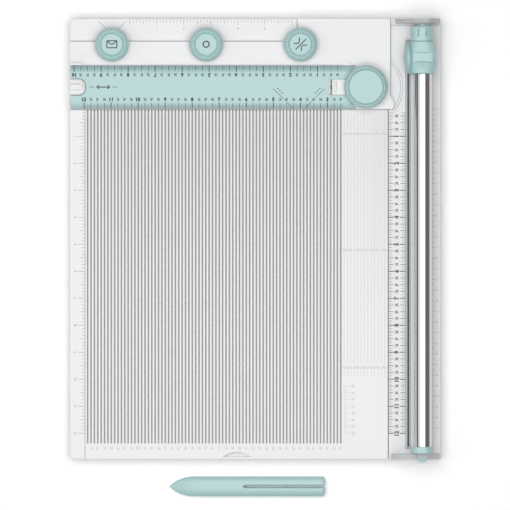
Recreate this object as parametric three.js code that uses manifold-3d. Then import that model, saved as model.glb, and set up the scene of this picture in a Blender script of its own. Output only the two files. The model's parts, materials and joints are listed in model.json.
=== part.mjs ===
// Rotary paper trimmer with a score board, three corner punches, a swinging ruler arm and its scoring tool.
// Millimetres, +Z up. The board lies flat, its front edge towards -Y and the cutter rail on its right.
import * as THREE from "three";
import { mergeVertices } from "three/addons/utils/BufferGeometryUtils.js";
import Module from "manifold-3d";

const wasm = await Module();
wasm.setup();

// ---------------------------------------------------------------- driving sizes
const INCH = 25.4;

const BOARD_W = 349; // overall width, X
const BOARD_D = 414; // overall depth, Y
const CORNER_R = 4.2; // plan radius of the two left corners
const FOOT_H = 1.5; // what the rubber feet stand proud
const COVER_T = 2; // bottom cover
const SHELL_H = 12.5; // base shell, from the cover to the seat of the panels
const SHELL_T = 2.2; // its walls and top plate
const PANEL_T = 2; // score panel, margin strip, cutter strip and punch ledge
const FENCE_H = 4; // how far the rear deck stands above the score panel
const SEAM = 0.3; // open seam between two panels that lie side by side

const MARGIN_W = 14.4; // strip left of the score panel
const DECK_D = 85.1; // rear deck, from the board's rear edge to the paper fence
const LEDGE_D = 21.5; // low punch ledge behind the deck
const LEDGE_L = 214.3; // and its length from the left edge
const CUT_INSET = 30.5; // cut line, from the right edge
const TRIM_W = 49.6; // cutter strip in front of the fence
const TRIM_REAR_W = 47.3; // and beside the deck

const GROOVE_PITCH = INCH / 8;
const GROOVE_W = 1.5;
const GROOVE_DEPTH = 0.8;
const GROOVE_FIRST = 20; // eighths of an inch from the cut line
const GROOVE_MARGIN = 2; // least land left of the last groove
const GROOVE_FRONT = 14.5; // from the board's front edge to the grooves' front ends

const THUMB_W = 25.6; // half-moon finger notch for lifting a sheet off the panel
const THUMB_FRONT = 1.8;
const THUMB_DEPTH = 4.7;
const THUMB_SINK = 1.2; // below the panel, into the base shell

const ARM_W = 40.7; // swinging ruler arm
const ARM_END_GAP = 0.9; // from the board's left edge
const ARM_BEVEL = 6; // width of the thinned graduated edges
const ARM_GAP = 0.3; // under the arm, above the deck
const UNDER_T = 1.5; // white carrier plate under the ruler
const RULER_T = 2.5;
const PIVOT_INSET = 40.1; // pivot, from the cut line
const POST_R = 6;
const CATCH_W = 4.9; // fixed lug that the arm's end notch drops over
const NOTCH_W = 15.1;
const NOTCH_L = 13.9;
const NOTCH_ROUND = 6;
const WINDOW_W = 15.2; // window of the arm's slide lock
const WINDOW_L = 16.3;
const LOCK_TRAVEL = 3.3;

const KNOB_R = 20.2; // release button over the pivot
const KNOB_TRAVEL = 3;
const BUTTON_R = 15.8; // three punch buttons
const BUTTON_TRAVEL = 4;
const BUTTON_FIRST = 40; // first button, from the left edge
const BUTTON_PITCH = 88.45;
const BUTTON_SET = 3; // their centres lie this far in front of the ledge's step
const CAP_WALL = 2.2; // wall of every button cap
const CAP_GAP = 0.4; // between a cap's skirt and the collar inside it
const PAPER_SLOT = 1.5; // mouth of a punch, above the ledge
const PUNCH_GAP = 0.1; // between a punch and its die

const BLADE_R = 14;
const BLADE_T = 0.4;
const BLADE_REST = 0.2; // blade's edge above the mat until the rail is pressed down
const MAT_GROOVE_W = 1;
const MAT_GROOVE_DEPTH = 0.8;
const MAT_W = 5;
const PAPER_GAP = 2; // under the clear guard
const GUARD_T = 1.5;
const GUARD_SLOT = 1.7;
const RAIL_R = 8.3;
const RAIL_WALL = 1.2;
const RAIL_SIDE = 5.1; // between the cut line and the rail's side
const BARREL_WALL = 3.6; // carriage barrel, over the rail
const BUSH_WALL = 1.15;
const RUN_GAP = 0.15; // running clearance on the rail
const CARRIAGE_GAP = 0.6; // under the carriage
const END_PLATE_T = 5.3; // clear arches at the rail's ends
const REAR_CAP_L = 16;
const FRONT_CAP_L = 6.3;
const TONGUE_W = 8.4;
const TONGUE_OUT = 2.8; // lift tongue, past the board's front edge
const PIN_R = 1.2; // rail hinge pin
const PIN_FIT = 0.1;

const TOOL_L = 147; // loose scoring tool
const TOOL_W = 18.6;
const TOOL_H = 9;
const TOOL_SLOT_W = 2.1;
const TOOL_SLOT_L = 77.3;
const TOOL_FRONT_GAP = 17.1; // clear strip between the board and the tool
const TOOL_X = -7.6; // middle of the tool

// ---------------------------------------------------------------- places that follow from them
const left = -BOARD_W / 2;
const right = BOARD_W / 2;
const front = -BOARD_D / 2;
const rear = BOARD_D / 2;
const cutX = right - CUT_INSET;
const fenceY = rear - DECK_D;
const ledgeY = rear - LEDGE_D;
const ledgeX = left + LEDGE_L;
const panelX0 = left + MARGIN_W;
const trimX = right - TRIM_W;
const trimRearX = right - TRIM_REAR_W;
const panelMidX = (panelX0 + trimX) / 2;
const pivotX = cutX - PIVOT_INSET;
const pivotY = fenceY + ARM_W / 2 + SEAM;
const railX = cutX + RAIL_SIDE + RAIL_R;
const barrelR = RAIL_R + BARREL_WALL;

const coverZ = FOOT_H;
const shellZ = coverZ + COVER_T;
const seatZ = shellZ + SHELL_H; // top of the base shell
const panelZ = seatZ + PANEL_T; // writing surface
const deckZ = panelZ + FENCE_H;
const armZ = deckZ + ARM_GAP;
const rulerZ = armZ + UNDER_T;
const rulerTopZ = rulerZ + RULER_T;
const guardZ = panelZ + PAPER_GAP;
const guardTopZ = guardZ + GUARD_T;
const bladeZ = panelZ + BLADE_REST + BLADE_R;
const railZ = guardTopZ + CARRIAGE_GAP + barrelR;

// ---------------------------------------------------------------- finishes
const finish = (color, roughness, metalness = 0) =>
  new THREE.MeshStandardMaterial({ color, roughness, metalness });
const WHITE = finish(0xeeeeee, 0.5);
const GREY = finish(0xe3e3e4, 0.45);
const TEAL = finish(0xa9cfcc, 0.4);
const MAT = finish(0x8f9394, 0.8);
const RUBBER = finish(0x2b2c2e, 0.9);
const STEEL = finish(0xb9bcbe, 0.2, 1);
const ZINC = finish(0xa8abad, 0.35, 1);
const CLEAR = finish(0xdfe5e6, 0.1);
CLEAR.transparent = true;
CLEAR.opacity = 0.35;

// ---------------------------------------------------------------- shapes
const FINE = 24; // sides of a large round
const COARSE = 12; // sides of a small one
const TIDY = 0.001; // joined faces are merged where they lie this flat

// A three.js geometry as a solid, turned right side out if its outline ran the other way.
function solid(geometry) {
  const bare = geometry.index ? geometry.toNonIndexed() : geometry;
  bare.deleteAttribute("normal");
  bare.deleteAttribute("uv");
  const merged = mergeVertices(bare, 1e-4);
  const make = (triVerts) =>
    new wasm.Manifold(
      new wasm.Mesh({ numProp: 3, vertProperties: merged.attributes.position.array, triVerts }),
    );
  const triVerts = new Uint32Array(merged.index.array);
  const made = make(triVerts);
  return made.volume() < 0 ? make(triVerts.reverse()) : made;
}

// A solid as a three.js geometry with flat faces.
function geometryOf(made) {
  const mesh = made.asOriginal().simplify(TIDY).getMesh();
  const stride = mesh.numProp;
  const position = new Float32Array(mesh.numVert * 3);
  for (let i = 0; i < mesh.numVert; i++) {
    position.set(mesh.vertProperties.subarray(i * stride, i * stride + 3), i * 3);
  }
  const indexed = new THREE.BufferGeometry()
    .setAttribute("position", new THREE.BufferAttribute(position, 3))
    .setIndex(new THREE.BufferAttribute(mesh.triVerts, 1));
  const flat = indexed.toNonIndexed();
  flat.computeVertexNormals();
  return flat;
}

// Box between two corners.
function block(x0, x1, y0, y1, z0, z1) {
  const box = new THREE.BoxGeometry(x1 - x0, y1 - y0, z1 - z0);
  return solid(box.translate((x0 + x1) / 2, (y0 + y1) / 2, (z0 + z1) / 2));
}

// Outline from a list of [x, y] corners.
function outline(points) {
  return new THREE.Shape(points.map(([x, y]) => new THREE.Vector2(x, y)));
}

// Rectangle whose four corners have their own radii, from the front left one anticlockwise.
function plate(x0, x1, y0, y1, radii = [0, 0, 0, 0]) {
  const [a, b, c, d] = radii;
  const shape = new THREE.Shape();
  shape.moveTo(x0 + a, y0);
  shape.lineTo(x1 - b, y0);
  if (b) shape.absarc(x1 - b, y0 + b, b, -Math.PI / 2, 0);
  shape.lineTo(x1, y1 - c);
  if (c) shape.absarc(x1 - c, y1 - c, c, 0, Math.PI / 2);
  shape.lineTo(x0 + d, y1);
  if (d) shape.absarc(x0 + d, y1 - d, d, Math.PI / 2, Math.PI);
  shape.lineTo(x0, y0 + a);
  if (a) shape.absarc(x0 + a, y0 + a, a, Math.PI, 1.5 * Math.PI);
  return shape;
}

// Outline raised from z0 to z1.
function prism(shape, z0, z1, curveSegments = 5) {
  const options = { depth: z1 - z0, bevelEnabled: false, curveSegments };
  return solid(new THREE.ExtrudeGeometry(shape, options).translate(0, 0, z0));
}

// Outline in X and Z, carried along Y from y0 to y1.
function prismY(shape, y0, y1, curveSegments = 6) {
  const options = { depth: y1 - y0, bevelEnabled: false, curveSegments };
  return solid(new THREE.ExtrudeGeometry(shape, options).rotateX(Math.PI / 2).translate(0, y1, 0));
}

// Outline in Y and Z, carried along X from x0 to x1.
function prismX(shape, x0, x1, curveSegments = 8) {
  const options = { depth: x1 - x0, bevelEnabled: false, curveSegments };
  const geometry = new THREE.ExtrudeGeometry(shape, options);
  return solid(geometry.rotateY(Math.PI / 2).rotateX(Math.PI / 2).translate(x0, 0, 0));
}

// Profile of [radius, height] points turned about Z, and the same laid along Y or X.
const lathe = (profile, sides) =>
  new THREE.LatheGeometry(profile.map(([r, h]) => new THREE.Vector2(r, h)), sides);
const turned = (profile, sides = COARSE) => solid(lathe(profile, sides).rotateX(Math.PI / 2));
const turnedY = (profile, sides = COARSE) => solid(lathe(profile, sides));
const turnedX = (profile, sides = COARSE) => solid(lathe(profile, sides).rotateZ(-Math.PI / 2));

// Closed profiles: a solid disc and a ring.
const disc = (r, h0, h1) => [[0, h0], [r, h0], [r, h1], [0, h1]];
const ring = (r0, r1, h0, h1) => [[r0, h0], [r1, h0], [r1, h1], [r0, h1], [r0, h0]];

// Coil spring of round wire between two heights.
function coil(radius, wire, z0, z1, turns) {
  class Helix extends THREE.Curve {
    getPoint(t, target = new THREE.Vector3()) {
      const angle = 2 * Math.PI * turns * t;
      const rise = wire + (z1 - z0 - 2 * wire) * t;
      return target.set(radius * Math.cos(angle), radius * Math.sin(angle), z0 + rise);
    }
  }
  const section = new THREE.Shape().absarc(0, 0, wire, 0, 2 * Math.PI);
  const options = { extrudePath: new Helix(), steps: turns * 8, curveSegments: 2 };
  return solid(new THREE.ExtrudeGeometry(section, options));
}

// One named piece in its group.
function piece(group, name, made, material, place = [0, 0, 0]) {
  const mesh = new THREE.Mesh(geometryOf(made), material);
  mesh.name = name;
  mesh.position.set(...place);
  group.add(mesh);
}

// ---------------------------------------------------------------- board
const model = new THREE.Group();
const board = new THREE.Group();
model.add(board);

const SCREW_INSET = 24;
const FOOT_INSET = 12;
const corners = (inset) => [
  [left + inset, front + inset],
  [right - inset, front + inset],
  [right - inset, rear - inset],
  [left + inset, rear - inset],
];
const screwPlaces = corners(SCREW_INSET);
const footPlaces = corners(FOOT_INSET);
const SCREW_BOSS_R = 3.5;
const SCREW_R = 1.3;
const SCREW_HEAD_R = 2.8;
const SCREW_HEAD_H = 1.4;
const SCREW_L = 9;
const FIT = 0.2; // between a screw or plug and its hole
const OVER = 1; // how far a cutting shape runs past a face

const RIB_T = 2;
const RIB_PITCH = BOARD_W / 4;

const buttonY = ledgeY - BUTTON_SET;
const buttonX = [0, 1, 2].map((i) => left + BUTTON_FIRST + i * BUTTON_PITCH);
const BOSS_R = BUTTON_R - CAP_WALL - CAP_GAP;
const SPRING_WIRE = 0.6;
const SPRING_ROOM = 0.97; // each side of the spring, between the stem and the collar
const BOSS_FLOOR = 2;
const BOSS_H = 6.8; // collar round each punch, above the deck
const DIE_R = 9;
const CHIP_HOLE_R = 7.5; // where the punched bits fall into the base
const MOUTH_W = 32; // paper mouth of each punch
const MOUTH_D = 25.5;
const mouthTopZ = panelZ + PAPER_SLOT;
const floorTopZ = mouthTopZ + BOSS_FLOOR;
const bossTopZ = deckZ + BOSS_H;

// Half-moon finger notch, straight side to the front.
function thumbShape() {
  const chord = THUMB_W / 2;
  const r = (chord * chord + THUMB_DEPTH * THUMB_DEPTH) / (2 * THUMB_DEPTH);
  const y0 = front + THUMB_FRONT;
  const centreY = y0 + THUMB_DEPTH - r;
  const start = Math.atan2(y0 - centreY, chord);
  return new THREE.Shape().absarc(panelMidX, centreY, r, start, Math.PI - start);
}

// Hollow tray with its top plate up, and ribs and screw bosses inside.
function baseShell() {
  const ceiling = seatZ - SHELL_T;
  let shell = prism(plate(left, right, front, rear, [CORNER_R, 0, 0, CORNER_R]), shellZ, seatZ);
  shell = shell.subtract(
    block(left + SHELL_T, right - SHELL_T, front + SHELL_T, rear - SHELL_T, shellZ - OVER, ceiling),
  );
  for (const x of [-RIB_PITCH, 0, RIB_PITCH]) {
    const ribX = [x - RIB_T / 2, x + RIB_T / 2];
    shell = shell.add(block(...ribX, front + OVER, fenceY + OVER, shellZ, seatZ - OVER));
  }
  for (const y of [front + (fenceY - front) / 2, fenceY]) {
    shell = shell.add(block(left + OVER, right - OVER, y, y + RIB_T, shellZ, seatZ - OVER));
  }
  for (const [x, y] of screwPlaces) {
    const boss = turned(disc(SCREW_BOSS_R, shellZ, seatZ - OVER));
    const bore = turned(disc(SCREW_R + FIT, shellZ - OVER, shellZ + SCREW_L + OVER));
    shell = shell.add(boss.translate(x, y, 0)).subtract(bore.translate(x, y, 0));
  }
  for (const x of buttonX) {
    const chipHole = turned(disc(CHIP_HOLE_R, ceiling - OVER, seatZ + OVER));
    shell = shell.subtract(chipHole.translate(x, buttonY, 0));
  }
  return shell.subtract(prism(thumbShape(), seatZ - THUMB_SINK, seatZ + OVER));
}

// Flat cover under the shell, with countersunk screw holes and holes for the feet's plugs.
function bottomCover() {
  let cover = prism(plate(left, right, front, rear, [CORNER_R, 0, 0, CORNER_R]), coverZ, shellZ);
  for (const [x, y] of screwPlaces) {
    const head = disc(SCREW_HEAD_R + FIT, coverZ - OVER, coverZ + SCREW_HEAD_H + FIT);
    const hole = disc(SCREW_R + FIT, coverZ - OVER, shellZ + OVER);
    cover = cover.subtract(turned(head).translate(x, y, 0)).subtract(turned(hole).translate(x, y, 0));
  }
  for (const [x, y] of footPlaces) {
    const plug = turned(disc(FOOT_PLUG_R + FIT, coverZ - OVER, shellZ + OVER));
    cover = cover.subtract(plug.translate(x, y, 0));
  }
  return cover;
}

// Rubber foot: a disc with a plug, standing on the table at z = 0.
const FOOT_R = 8;
const FOOT_PLUG_R = 3;
const foot = () =>
  turned([
    [0, 0], [FOOT_R - 0.6, 0], [FOOT_R, 0.6], [FOOT_R, FOOT_H],
    [FOOT_PLUG_R, FOOT_H], [FOOT_PLUG_R, shellZ - FIT], [0, shellZ - FIT],
  ]);

// Screw with its head down and a cross recess, its seat at z = 0.
function screw(headR, headH, shankR, length) {
  const recess = headR * 0.6;
  const slotT = headR * 0.12;
  return turned([[0, -headH], [headR, -headH], [headR, 0], [shankR, 0], [shankR, length], [0, length]])
    .subtract(block(-recess, recess, -slotT, slotT, -headH - OVER, -headH / 2))
    .subtract(block(-slotT, slotT, -recess, recess, -headH - OVER, -headH / 2));
}

// Score panel: one comb of grooves, an eighth of an inch apart and counted from the cut line.
function scorePanel() {
  const x0 = panelX0 + SEAM / 2;
  const x1 = trimX - SEAM / 2;
  const grooveLast = Math.floor((cutX - panelX0 - GROOVE_MARGIN) / GROOVE_PITCH);
  const top = panelZ + OVER;
  const profile = [[x0 - OVER, top]];
  for (let k = grooveLast; k >= GROOVE_FIRST; k--) {
    const x = cutX - k * GROOVE_PITCH;
    const lip = GROOVE_W / 2;
    profile.push([x - lip, panelZ + SEAM], [x - lip, panelZ], [x - lip / 2, panelZ - GROOVE_DEPTH]);
    profile.push([x + lip / 2, panelZ - GROOVE_DEPTH], [x + lip, panelZ], [x + lip, panelZ + SEAM]);
  }
  profile.push([x1 + OVER, top]);
  return block(x0, x1, front, fenceY - SEAM, seatZ, panelZ)
    .subtract(prismY(outline(profile), front + GROOVE_FRONT, fenceY))
    .subtract(prism(thumbShape(), seatZ - OVER, panelZ + OVER));
}

const marginStrip = () =>
  prism(plate(left, panelX0 - SEAM / 2, front, fenceY - SEAM, [CORNER_R, 0, 0, 0]), seatZ, panelZ);

// Low ledge behind the deck. A tongue under each punch carries the paper, and each has a seat for a die.
function punchLedge() {
  let ledge = prism(plate(left, ledgeX - SEAM, ledgeY + SEAM, rear, [0, 0, 0, CORNER_R]), seatZ, panelZ);
  for (const x of buttonX) {
    const tongue = MOUTH_W / 2;
    ledge = ledge.add(block(x - tongue, x + tongue, ledgeY - MOUTH_D, ledgeY + OVER, seatZ, panelZ));
  }
  for (const x of buttonX) {
    const seat = turned(disc(DIE_R + FIT, seatZ - OVER, panelZ + OVER), FINE);
    ledge = ledge.subtract(seat.translate(x, buttonY, 0));
  }
  return ledge;
}

// The three punches, each grown by g for its die and its guide.
const NOTCH_PUNCH = 5; // half width of the pointed notch
const HOLE_PUNCH_R = 3;
const CORNER_PUNCH = 5; // half side of the corner rounder
const CORNER_TIP = 0.8; // its two tips are blunt
function notchPunch(g, z0, z1) {
  const s = NOTCH_PUNCH + g;
  return prism(outline([[-s, -s], [s, -s], [s, 0], [0, s], [-s, 0]]), z0, z1);
}
const holePunch = (g, z0, z1) => turned(disc(HOLE_PUNCH_R + g, z0, z1));
function cornerPunch(g, z0, z1) {
  const s = CORNER_PUNCH + g;
  const round = turned(disc(2 * CORNER_PUNCH - CORNER_TIP - g, z0 - OVER, z1 + OVER), FINE);
  return block(-s, s, -s, s, z0, z1).subtract(round.translate(CORNER_PUNCH, -CORNER_PUNCH, 0));
}
const stemR = NOTCH_PUNCH * Math.SQRT2; // covers the widest punch
const bossInnerR = stemR + 2 * (SPRING_WIRE + SPRING_ROOM);
const punches = [
  { name: "notch", body: notchPunch },
  { name: "hole", body: holePunch },
  { name: "corner", body: cornerPunch },
];

const die = (body) =>
  turned(disc(DIE_R, seatZ, panelZ), FINE).subtract(body(PUNCH_GAP, seatZ - OVER, panelZ + OVER));

// Cup pressed into the deck over each die: its floor guides the punch and its wall centres the button.
const guide = (body) =>
  turned(disc(BOSS_R, mouthTopZ, bossTopZ), FINE)
    .subtract(turned(disc(bossInnerR, floorTopZ, bossTopZ + OVER), FINE))
    .subtract(body(PUNCH_GAP, mouthTopZ - OVER, bossTopZ));

// Rear deck: a shell with pads under the pivot and punches, and the arm's catch and stop at its left end.
const PAD_R = 17;
const PLUG_R = 4;
const PLUG_L = 3;
const CATCH_L = 11.6;
const CATCH_INSET = 0.5;
const CATCH_ROUND = 2.4;
const CATCH_BELOW = 0.5; // the catch ends this far under the ruler's top
const STOP_T = 2;
const STOP_H = 3;
function rearDeck() {
  const x1 = trimRearX - SEAM;
  const ceiling = deckZ - SHELL_T;
  const inner = [seatZ - OVER, ceiling];
  let deck = prism(
    outline([[left, fenceY], [x1, fenceY], [x1, rear], [ledgeX, rear], [ledgeX, ledgeY], [left, ledgeY]]),
    seatZ, deckZ,
  )
    .subtract(block(left + SHELL_T, x1 - SHELL_T, fenceY + SHELL_T, ledgeY - SHELL_T, ...inner))
    .subtract(block(ledgeX + SHELL_T, x1 - SHELL_T, ledgeY - SHELL_T - OVER, rear - SHELL_T, ...inner))
    .add(turned(disc(PAD_R, seatZ, deckZ - OVER)).translate(pivotX, pivotY, 0));
  for (const x of buttonX) {
    const pad = PAD_R + OVER;
    deck = deck.add(block(x - pad, x + pad, ledgeY - MOUTH_D - SHELL_T, ledgeY, seatZ, deckZ - OVER));
  }
  for (const x of buttonX) {
    const mouth = MOUTH_W / 2 + SEAM;
    deck = deck
      .subtract(block(x - mouth, x + mouth, ledgeY - MOUTH_D - SEAM, rear, seatZ - OVER, mouthTopZ))
      .subtract(turned(disc(BOSS_R + FIT, mouthTopZ - OVER, deckZ + OVER), FINE).translate(x, buttonY, 0));
  }
  const catchX = [left + CATCH_INSET, left + CATCH_INSET + CATCH_L];
  const catchShape = plate(...catchX, -CATCH_W / 2, CATCH_W / 2, [0, CATCH_ROUND, CATCH_ROUND, 0]);
  const stopY = pivotY + ARM_W / 2 + SEAM;
  return deck
    .add(prism(catchShape, deckZ - OVER, rulerTopZ - CATCH_BELOW).translate(0, pivotY, 0))
    .add(block(...catchX, stopY, stopY + STOP_T, deckZ - OVER, deckZ + STOP_H))
    .subtract(turned(disc(PLUG_R + FIT, deckZ - PLUG_L - FIT, deckZ + OVER)).translate(pivotX, pivotY, 0));
}

piece(board, "base_shell", baseShell(), WHITE);
piece(board, "bottom_cover", bottomCover(), WHITE);
piece(board, "score_panel", scorePanel(), WHITE);
piece(board, "margin_strip", marginStrip(), WHITE);
piece(board, "punch_ledge", punchLedge(), WHITE);
piece(board, "rear_deck", rearDeck(), WHITE);
footPlaces.forEach(([x, y], i) => piece(board, `foot_${i + 1}`, foot(), RUBBER, [x, y, 0]));
screwPlaces.forEach(([x, y], i) => {
  const made = screw(SCREW_HEAD_R, SCREW_HEAD_H, SCREW_R, SCREW_L);
  piece(board, `case_screw_${i + 1}`, made, ZINC, [x, y, coverZ + SCREW_HEAD_H + FIT / 2]);
});

// ---------------------------------------------------------------- punches
// Pressed cap: a skirt round the collar, a rounded rim, a groove round the raised disc, and a stem below.
const RIM = 1.7;
const RIM_DROP = 1.6;
const RIM_KNEE = 0.5;
const DISC_SHARE = 0.64; // radius of the raised disc, of the cap's own
const DISC_DROP = 0.3; // below the rim
const DISC_GROOVE = 0.8; // depth of the groove round it
function cap(r, skirtZ, ceilingZ, stem) {
  const top = ceilingZ + CAP_WALL;
  const inner = r - CAP_WALL;
  const discR = r * DISC_SHARE;
  const profile = [
    [inner, skirtZ], [r, skirtZ], [r, top - RIM_DROP], [r - RIM_KNEE, top - RIM_KNEE], [r - RIM, top],
    [discR + 3 * RIM_KNEE, top], [discR + 2 * RIM_KNEE, top - DISC_GROOVE],
    [discR + RIM_KNEE, top - DISC_GROOVE], [discR, top - DISC_DROP], [0, top - DISC_DROP],
  ];
  const under = stem ? [[0, stem.z], [stem.r, stem.z], [stem.r, ceilingZ]] : [[0, ceilingZ]];
  return turned([...profile, ...under, [inner, ceilingZ], [inner, skirtZ]], FINE);
}

const CAP_STOP = 0.5; // left under a skirt that is pressed right down
const SPRING_SEAT = 0.1;
const capSkirtZ = deckZ + BUTTON_TRAVEL + CAP_STOP;
const capCeilingZ = bossTopZ + BUTTON_TRAVEL + SEAM;
const stem = { r: stemR, z: floorTopZ + BUTTON_TRAVEL + SEAM };
const SPRING_TURNS = 5;
buttonX.forEach((x, i) => {
  const { name, body } = punches[i];
  const button = new THREE.Group();
  button.position.set(x, buttonY, 0);
  board.add(button);
  piece(button, `${name}_button`, cap(BUTTON_R, capSkirtZ, capCeilingZ, stem), TEAL);
  piece(button, `${name}_punch`, body(0, mouthTopZ + SEAM, stem.z), STEEL);
  piece(button, `${name}_die`, die(body), STEEL);
  piece(button, `${name}_guide`, guide(body), WHITE);
  const springR = (stemR + bossInnerR) / 2;
  const springZ = [floorTopZ + SPRING_SEAT, capCeilingZ - SPRING_SEAT];
  const spring = coil(springR, SPRING_WIRE, ...springZ, SPRING_TURNS);
  piece(button, `${name}_spring`, spring, ZINC);
});

// ---------------------------------------------------------------- ruler arm, about its pivot
const arm = new THREE.Group();
arm.position.set(pivotX, pivotY, 0);
board.add(arm);

const armEnd = left + ARM_END_GAP - pivotX; // free end, seen from the pivot
const armHalf = ARM_W / 2;
const UNDER_INSET = 1.5; // the carrier is narrower than the ruler
const ARM_ROUND = 2;
const UNDER_REACH = 23.1; // and its ear's middle is this far past the pivot
const EAR_R = 3;
const EAR_SIDE = [ // wavy right side, from the ear round to the pivot's rear
  [26, -15], [25.7, -13.1], [24, -10.4], [22.8, -7.4], [22.1, -4], [21.7, -0.5], [20.8, 4.6], [18.6, 9.8],
  [14, 14.2], [7, 18.8], [0, 18.8],
];
const HOOK = { x0: -20.9, x1: -14.9, out: 3.8, round: 2.5 }; // finger hook on the carrier's rear edge
const COLLAR_R = KNOB_R - CAP_WALL - CAP_GAP;
const COLLAR_WALL = 2;
const COLLAR_H = 5.5;
const PIVOT_FIT = 0.15;
const RULER_END = 9; // corners of its right end, before the pivot
const RULER_CUT = 5.7; // and how far they are cut back at 45 degrees
const RULER_EDGE = 1; // thickness left at the bevelled edges
const BEVEL_RUN_OUT = 0.3; // how far the bevel's plane sinks in the millimetre past the edge
const WINDOW_ROUND = 1;
const windowX = -18.7; // end of the lock's window next to the pivot
const TAIL_W = 4.4;
const TAIL_H = 1.6;

const endNotch = () => {
  const rounds = [0, NOTCH_ROUND, NOTCH_ROUND, 0];
  return plate(armEnd - OVER, armEnd + NOTCH_L, -NOTCH_W / 2, NOTCH_W / 2, rounds);
};

// White carrier plate: it turns on the post and stiffens the ruler along its whole length.
function carrier() {
  const y = armHalf - UNDER_INSET;
  const rounds = [ARM_ROUND, 0, 0, ARM_ROUND];
  const body = prism(plate(armEnd + UNDER_INSET, OVER, -y, y, rounds), armZ, rulerZ);
  const earY = -armHalf - SEAM;
  const ear = turned(disc(EAR_R, armZ, rulerZ)).translate(UNDER_REACH, EAR_R + earY, 0);
  const side = outline([[0, earY], [UNDER_REACH, earY], [UNDER_REACH + EAR_R, EAR_R + earY], ...EAR_SIDE]);
  const hook = plate(HOOK.x0, HOOK.x1, y - OVER, armHalf + HOOK.out, [0, 0, HOOK.round, HOOK.round]);
  return body
    .add(ear)
    .add(prism(side, armZ, rulerZ))
    .add(prism(hook, armZ, rulerZ))
    .subtract(prism(endNotch(), armZ - OVER, rulerZ + OVER))
    .subtract(turned(disc(POST_R + PIVOT_FIT, armZ - OVER, rulerZ + OVER), FINE));
}

// Coloured ruler: both long edges slope down, and a round collar stands inside the knob.
function ruler() {
  const rounds = [ARM_ROUND, 0, 0, ARM_ROUND];
  const flat = prism(plate(armEnd, 0, -armHalf, armHalf, rounds), rulerZ, rulerTopZ);
  const edgeZ = rulerZ + RULER_EDGE - BEVEL_RUN_OUT;
  const above = rulerTopZ + OVER;
  const bevelY = armHalf - ARM_BEVEL;
  const edgeY = armHalf + OVER;
  const bevel = outline([[bevelY, rulerTopZ], [edgeY, edgeZ], [edgeY, above], [bevelY, above]]);
  const slope = prismX(bevel, armEnd - OVER, OVER);
  const cutY = armHalf - RULER_CUT;
  const corner = prism(
    outline([[-RULER_END - RULER_CUT, cutY], [OVER, cutY], [OVER, edgeY], [OVER - RULER_END, edgeY]]),
    rulerZ - OVER, above,
  );
  const collarWall = ring(COLLAR_R - COLLAR_WALL, COLLAR_R, rulerTopZ - OVER, rulerTopZ + COLLAR_H);
  const corners = [WINDOW_ROUND, WINDOW_ROUND, WINDOW_ROUND, WINDOW_ROUND];
  const window = plate(windowX - WINDOW_L, windowX, -WINDOW_W / 2, WINDOW_W / 2, corners);
  const channelY = TAIL_W / 2 + FIT;
  const channel = block(windowX - OVER, -POST_R, -channelY, channelY, rulerZ - OVER, rulerZ + TAIL_H + FIT);
  return flat
    .subtract(slope)
    .subtract(slope.mirror([0, 1, 0]))
    .subtract(corner)
    .subtract(corner.mirror([0, 1, 0]))
    .add(turned(disc(COLLAR_R + CAP_GAP, rulerZ, rulerTopZ), FINE))
    .add(turned(collarWall, FINE))
    .subtract(prism(endNotch(), rulerZ - OVER, rulerTopZ + OVER))
    .subtract(prism(window, rulerZ - OVER, rulerTopZ + OVER))
    .subtract(channel)
    .subtract(turned(disc(POST_R + PIVOT_FIT, rulerZ - OVER, rulerTopZ + OVER), FINE));
}

// Slide lock: a plate with a thumb ridge and a tail that reaches to the pivot post.
const RIDGE = { x0: 1.5, x1: 3.5, inset: 2, h: 1.2 };
const LOCK_LIFT = 0.1; // above the carrier it slides on
function slideLock() {
  const x0 = windowX - WINDOW_L + LOCK_TRAVEL + SEAM;
  const x1 = windowX - SEAM;
  const y = WINDOW_W / 2 - SEAM;
  const ridgeY = y - RIDGE.inset;
  const ridgeX = [x0 + RIDGE.x0, x0 + RIDGE.x1];
  const z = rulerZ + LOCK_LIFT;
  return block(x0, x1, -y, y, z, rulerTopZ - FIT)
    .add(block(...ridgeX, -ridgeY, ridgeY, rulerTopZ - OVER, rulerTopZ + RIDGE.h))
    .add(block(x1 - OVER, -POST_R - SEAM, -TAIL_W / 2, TAIL_W / 2, z, rulerZ + TAIL_H));
}

const postTopZ = rulerTopZ + FIT;
const WASHER_R = 10;
const WASHER_T = 0.8;
const pivotPost = () =>
  turned([
    [SCREW_BORE_R, deckZ - PLUG_L], [PLUG_R, deckZ - PLUG_L], [PLUG_R, deckZ], [POST_R, deckZ],
    [POST_R, postTopZ], [SCREW_BORE_R, postTopZ], [SCREW_BORE_R, deckZ - PLUG_L],
  ], FINE);
const PIVOT_SCREW_R = 2.4;
const PIVOT_HEAD_R = 5;
const PIVOT_HEAD_H = 2.2;
const SCREW_BORE_R = PIVOT_SCREW_R + FIT;
const pivotScrewL = postTopZ + WASHER_T - deckZ + PLUG_L;
const pivotWasher = () =>
  turned(ring(SCREW_BORE_R, WASHER_R, postTopZ, postTopZ + WASHER_T), FINE);

const knobSkirtZ = rulerTopZ + KNOB_TRAVEL + CAP_STOP;
const knobCeilingZ = rulerTopZ + COLLAR_H + KNOB_TRAVEL + SEAM;
const KNOB_SPRING_R = 12.5;
const KNOB_SPRING_WIRE = 0.7;
const KNOB_SPRING_TURNS = 3;
const turnedOver = (made) => made.rotate([180, 0, 0]);

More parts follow.
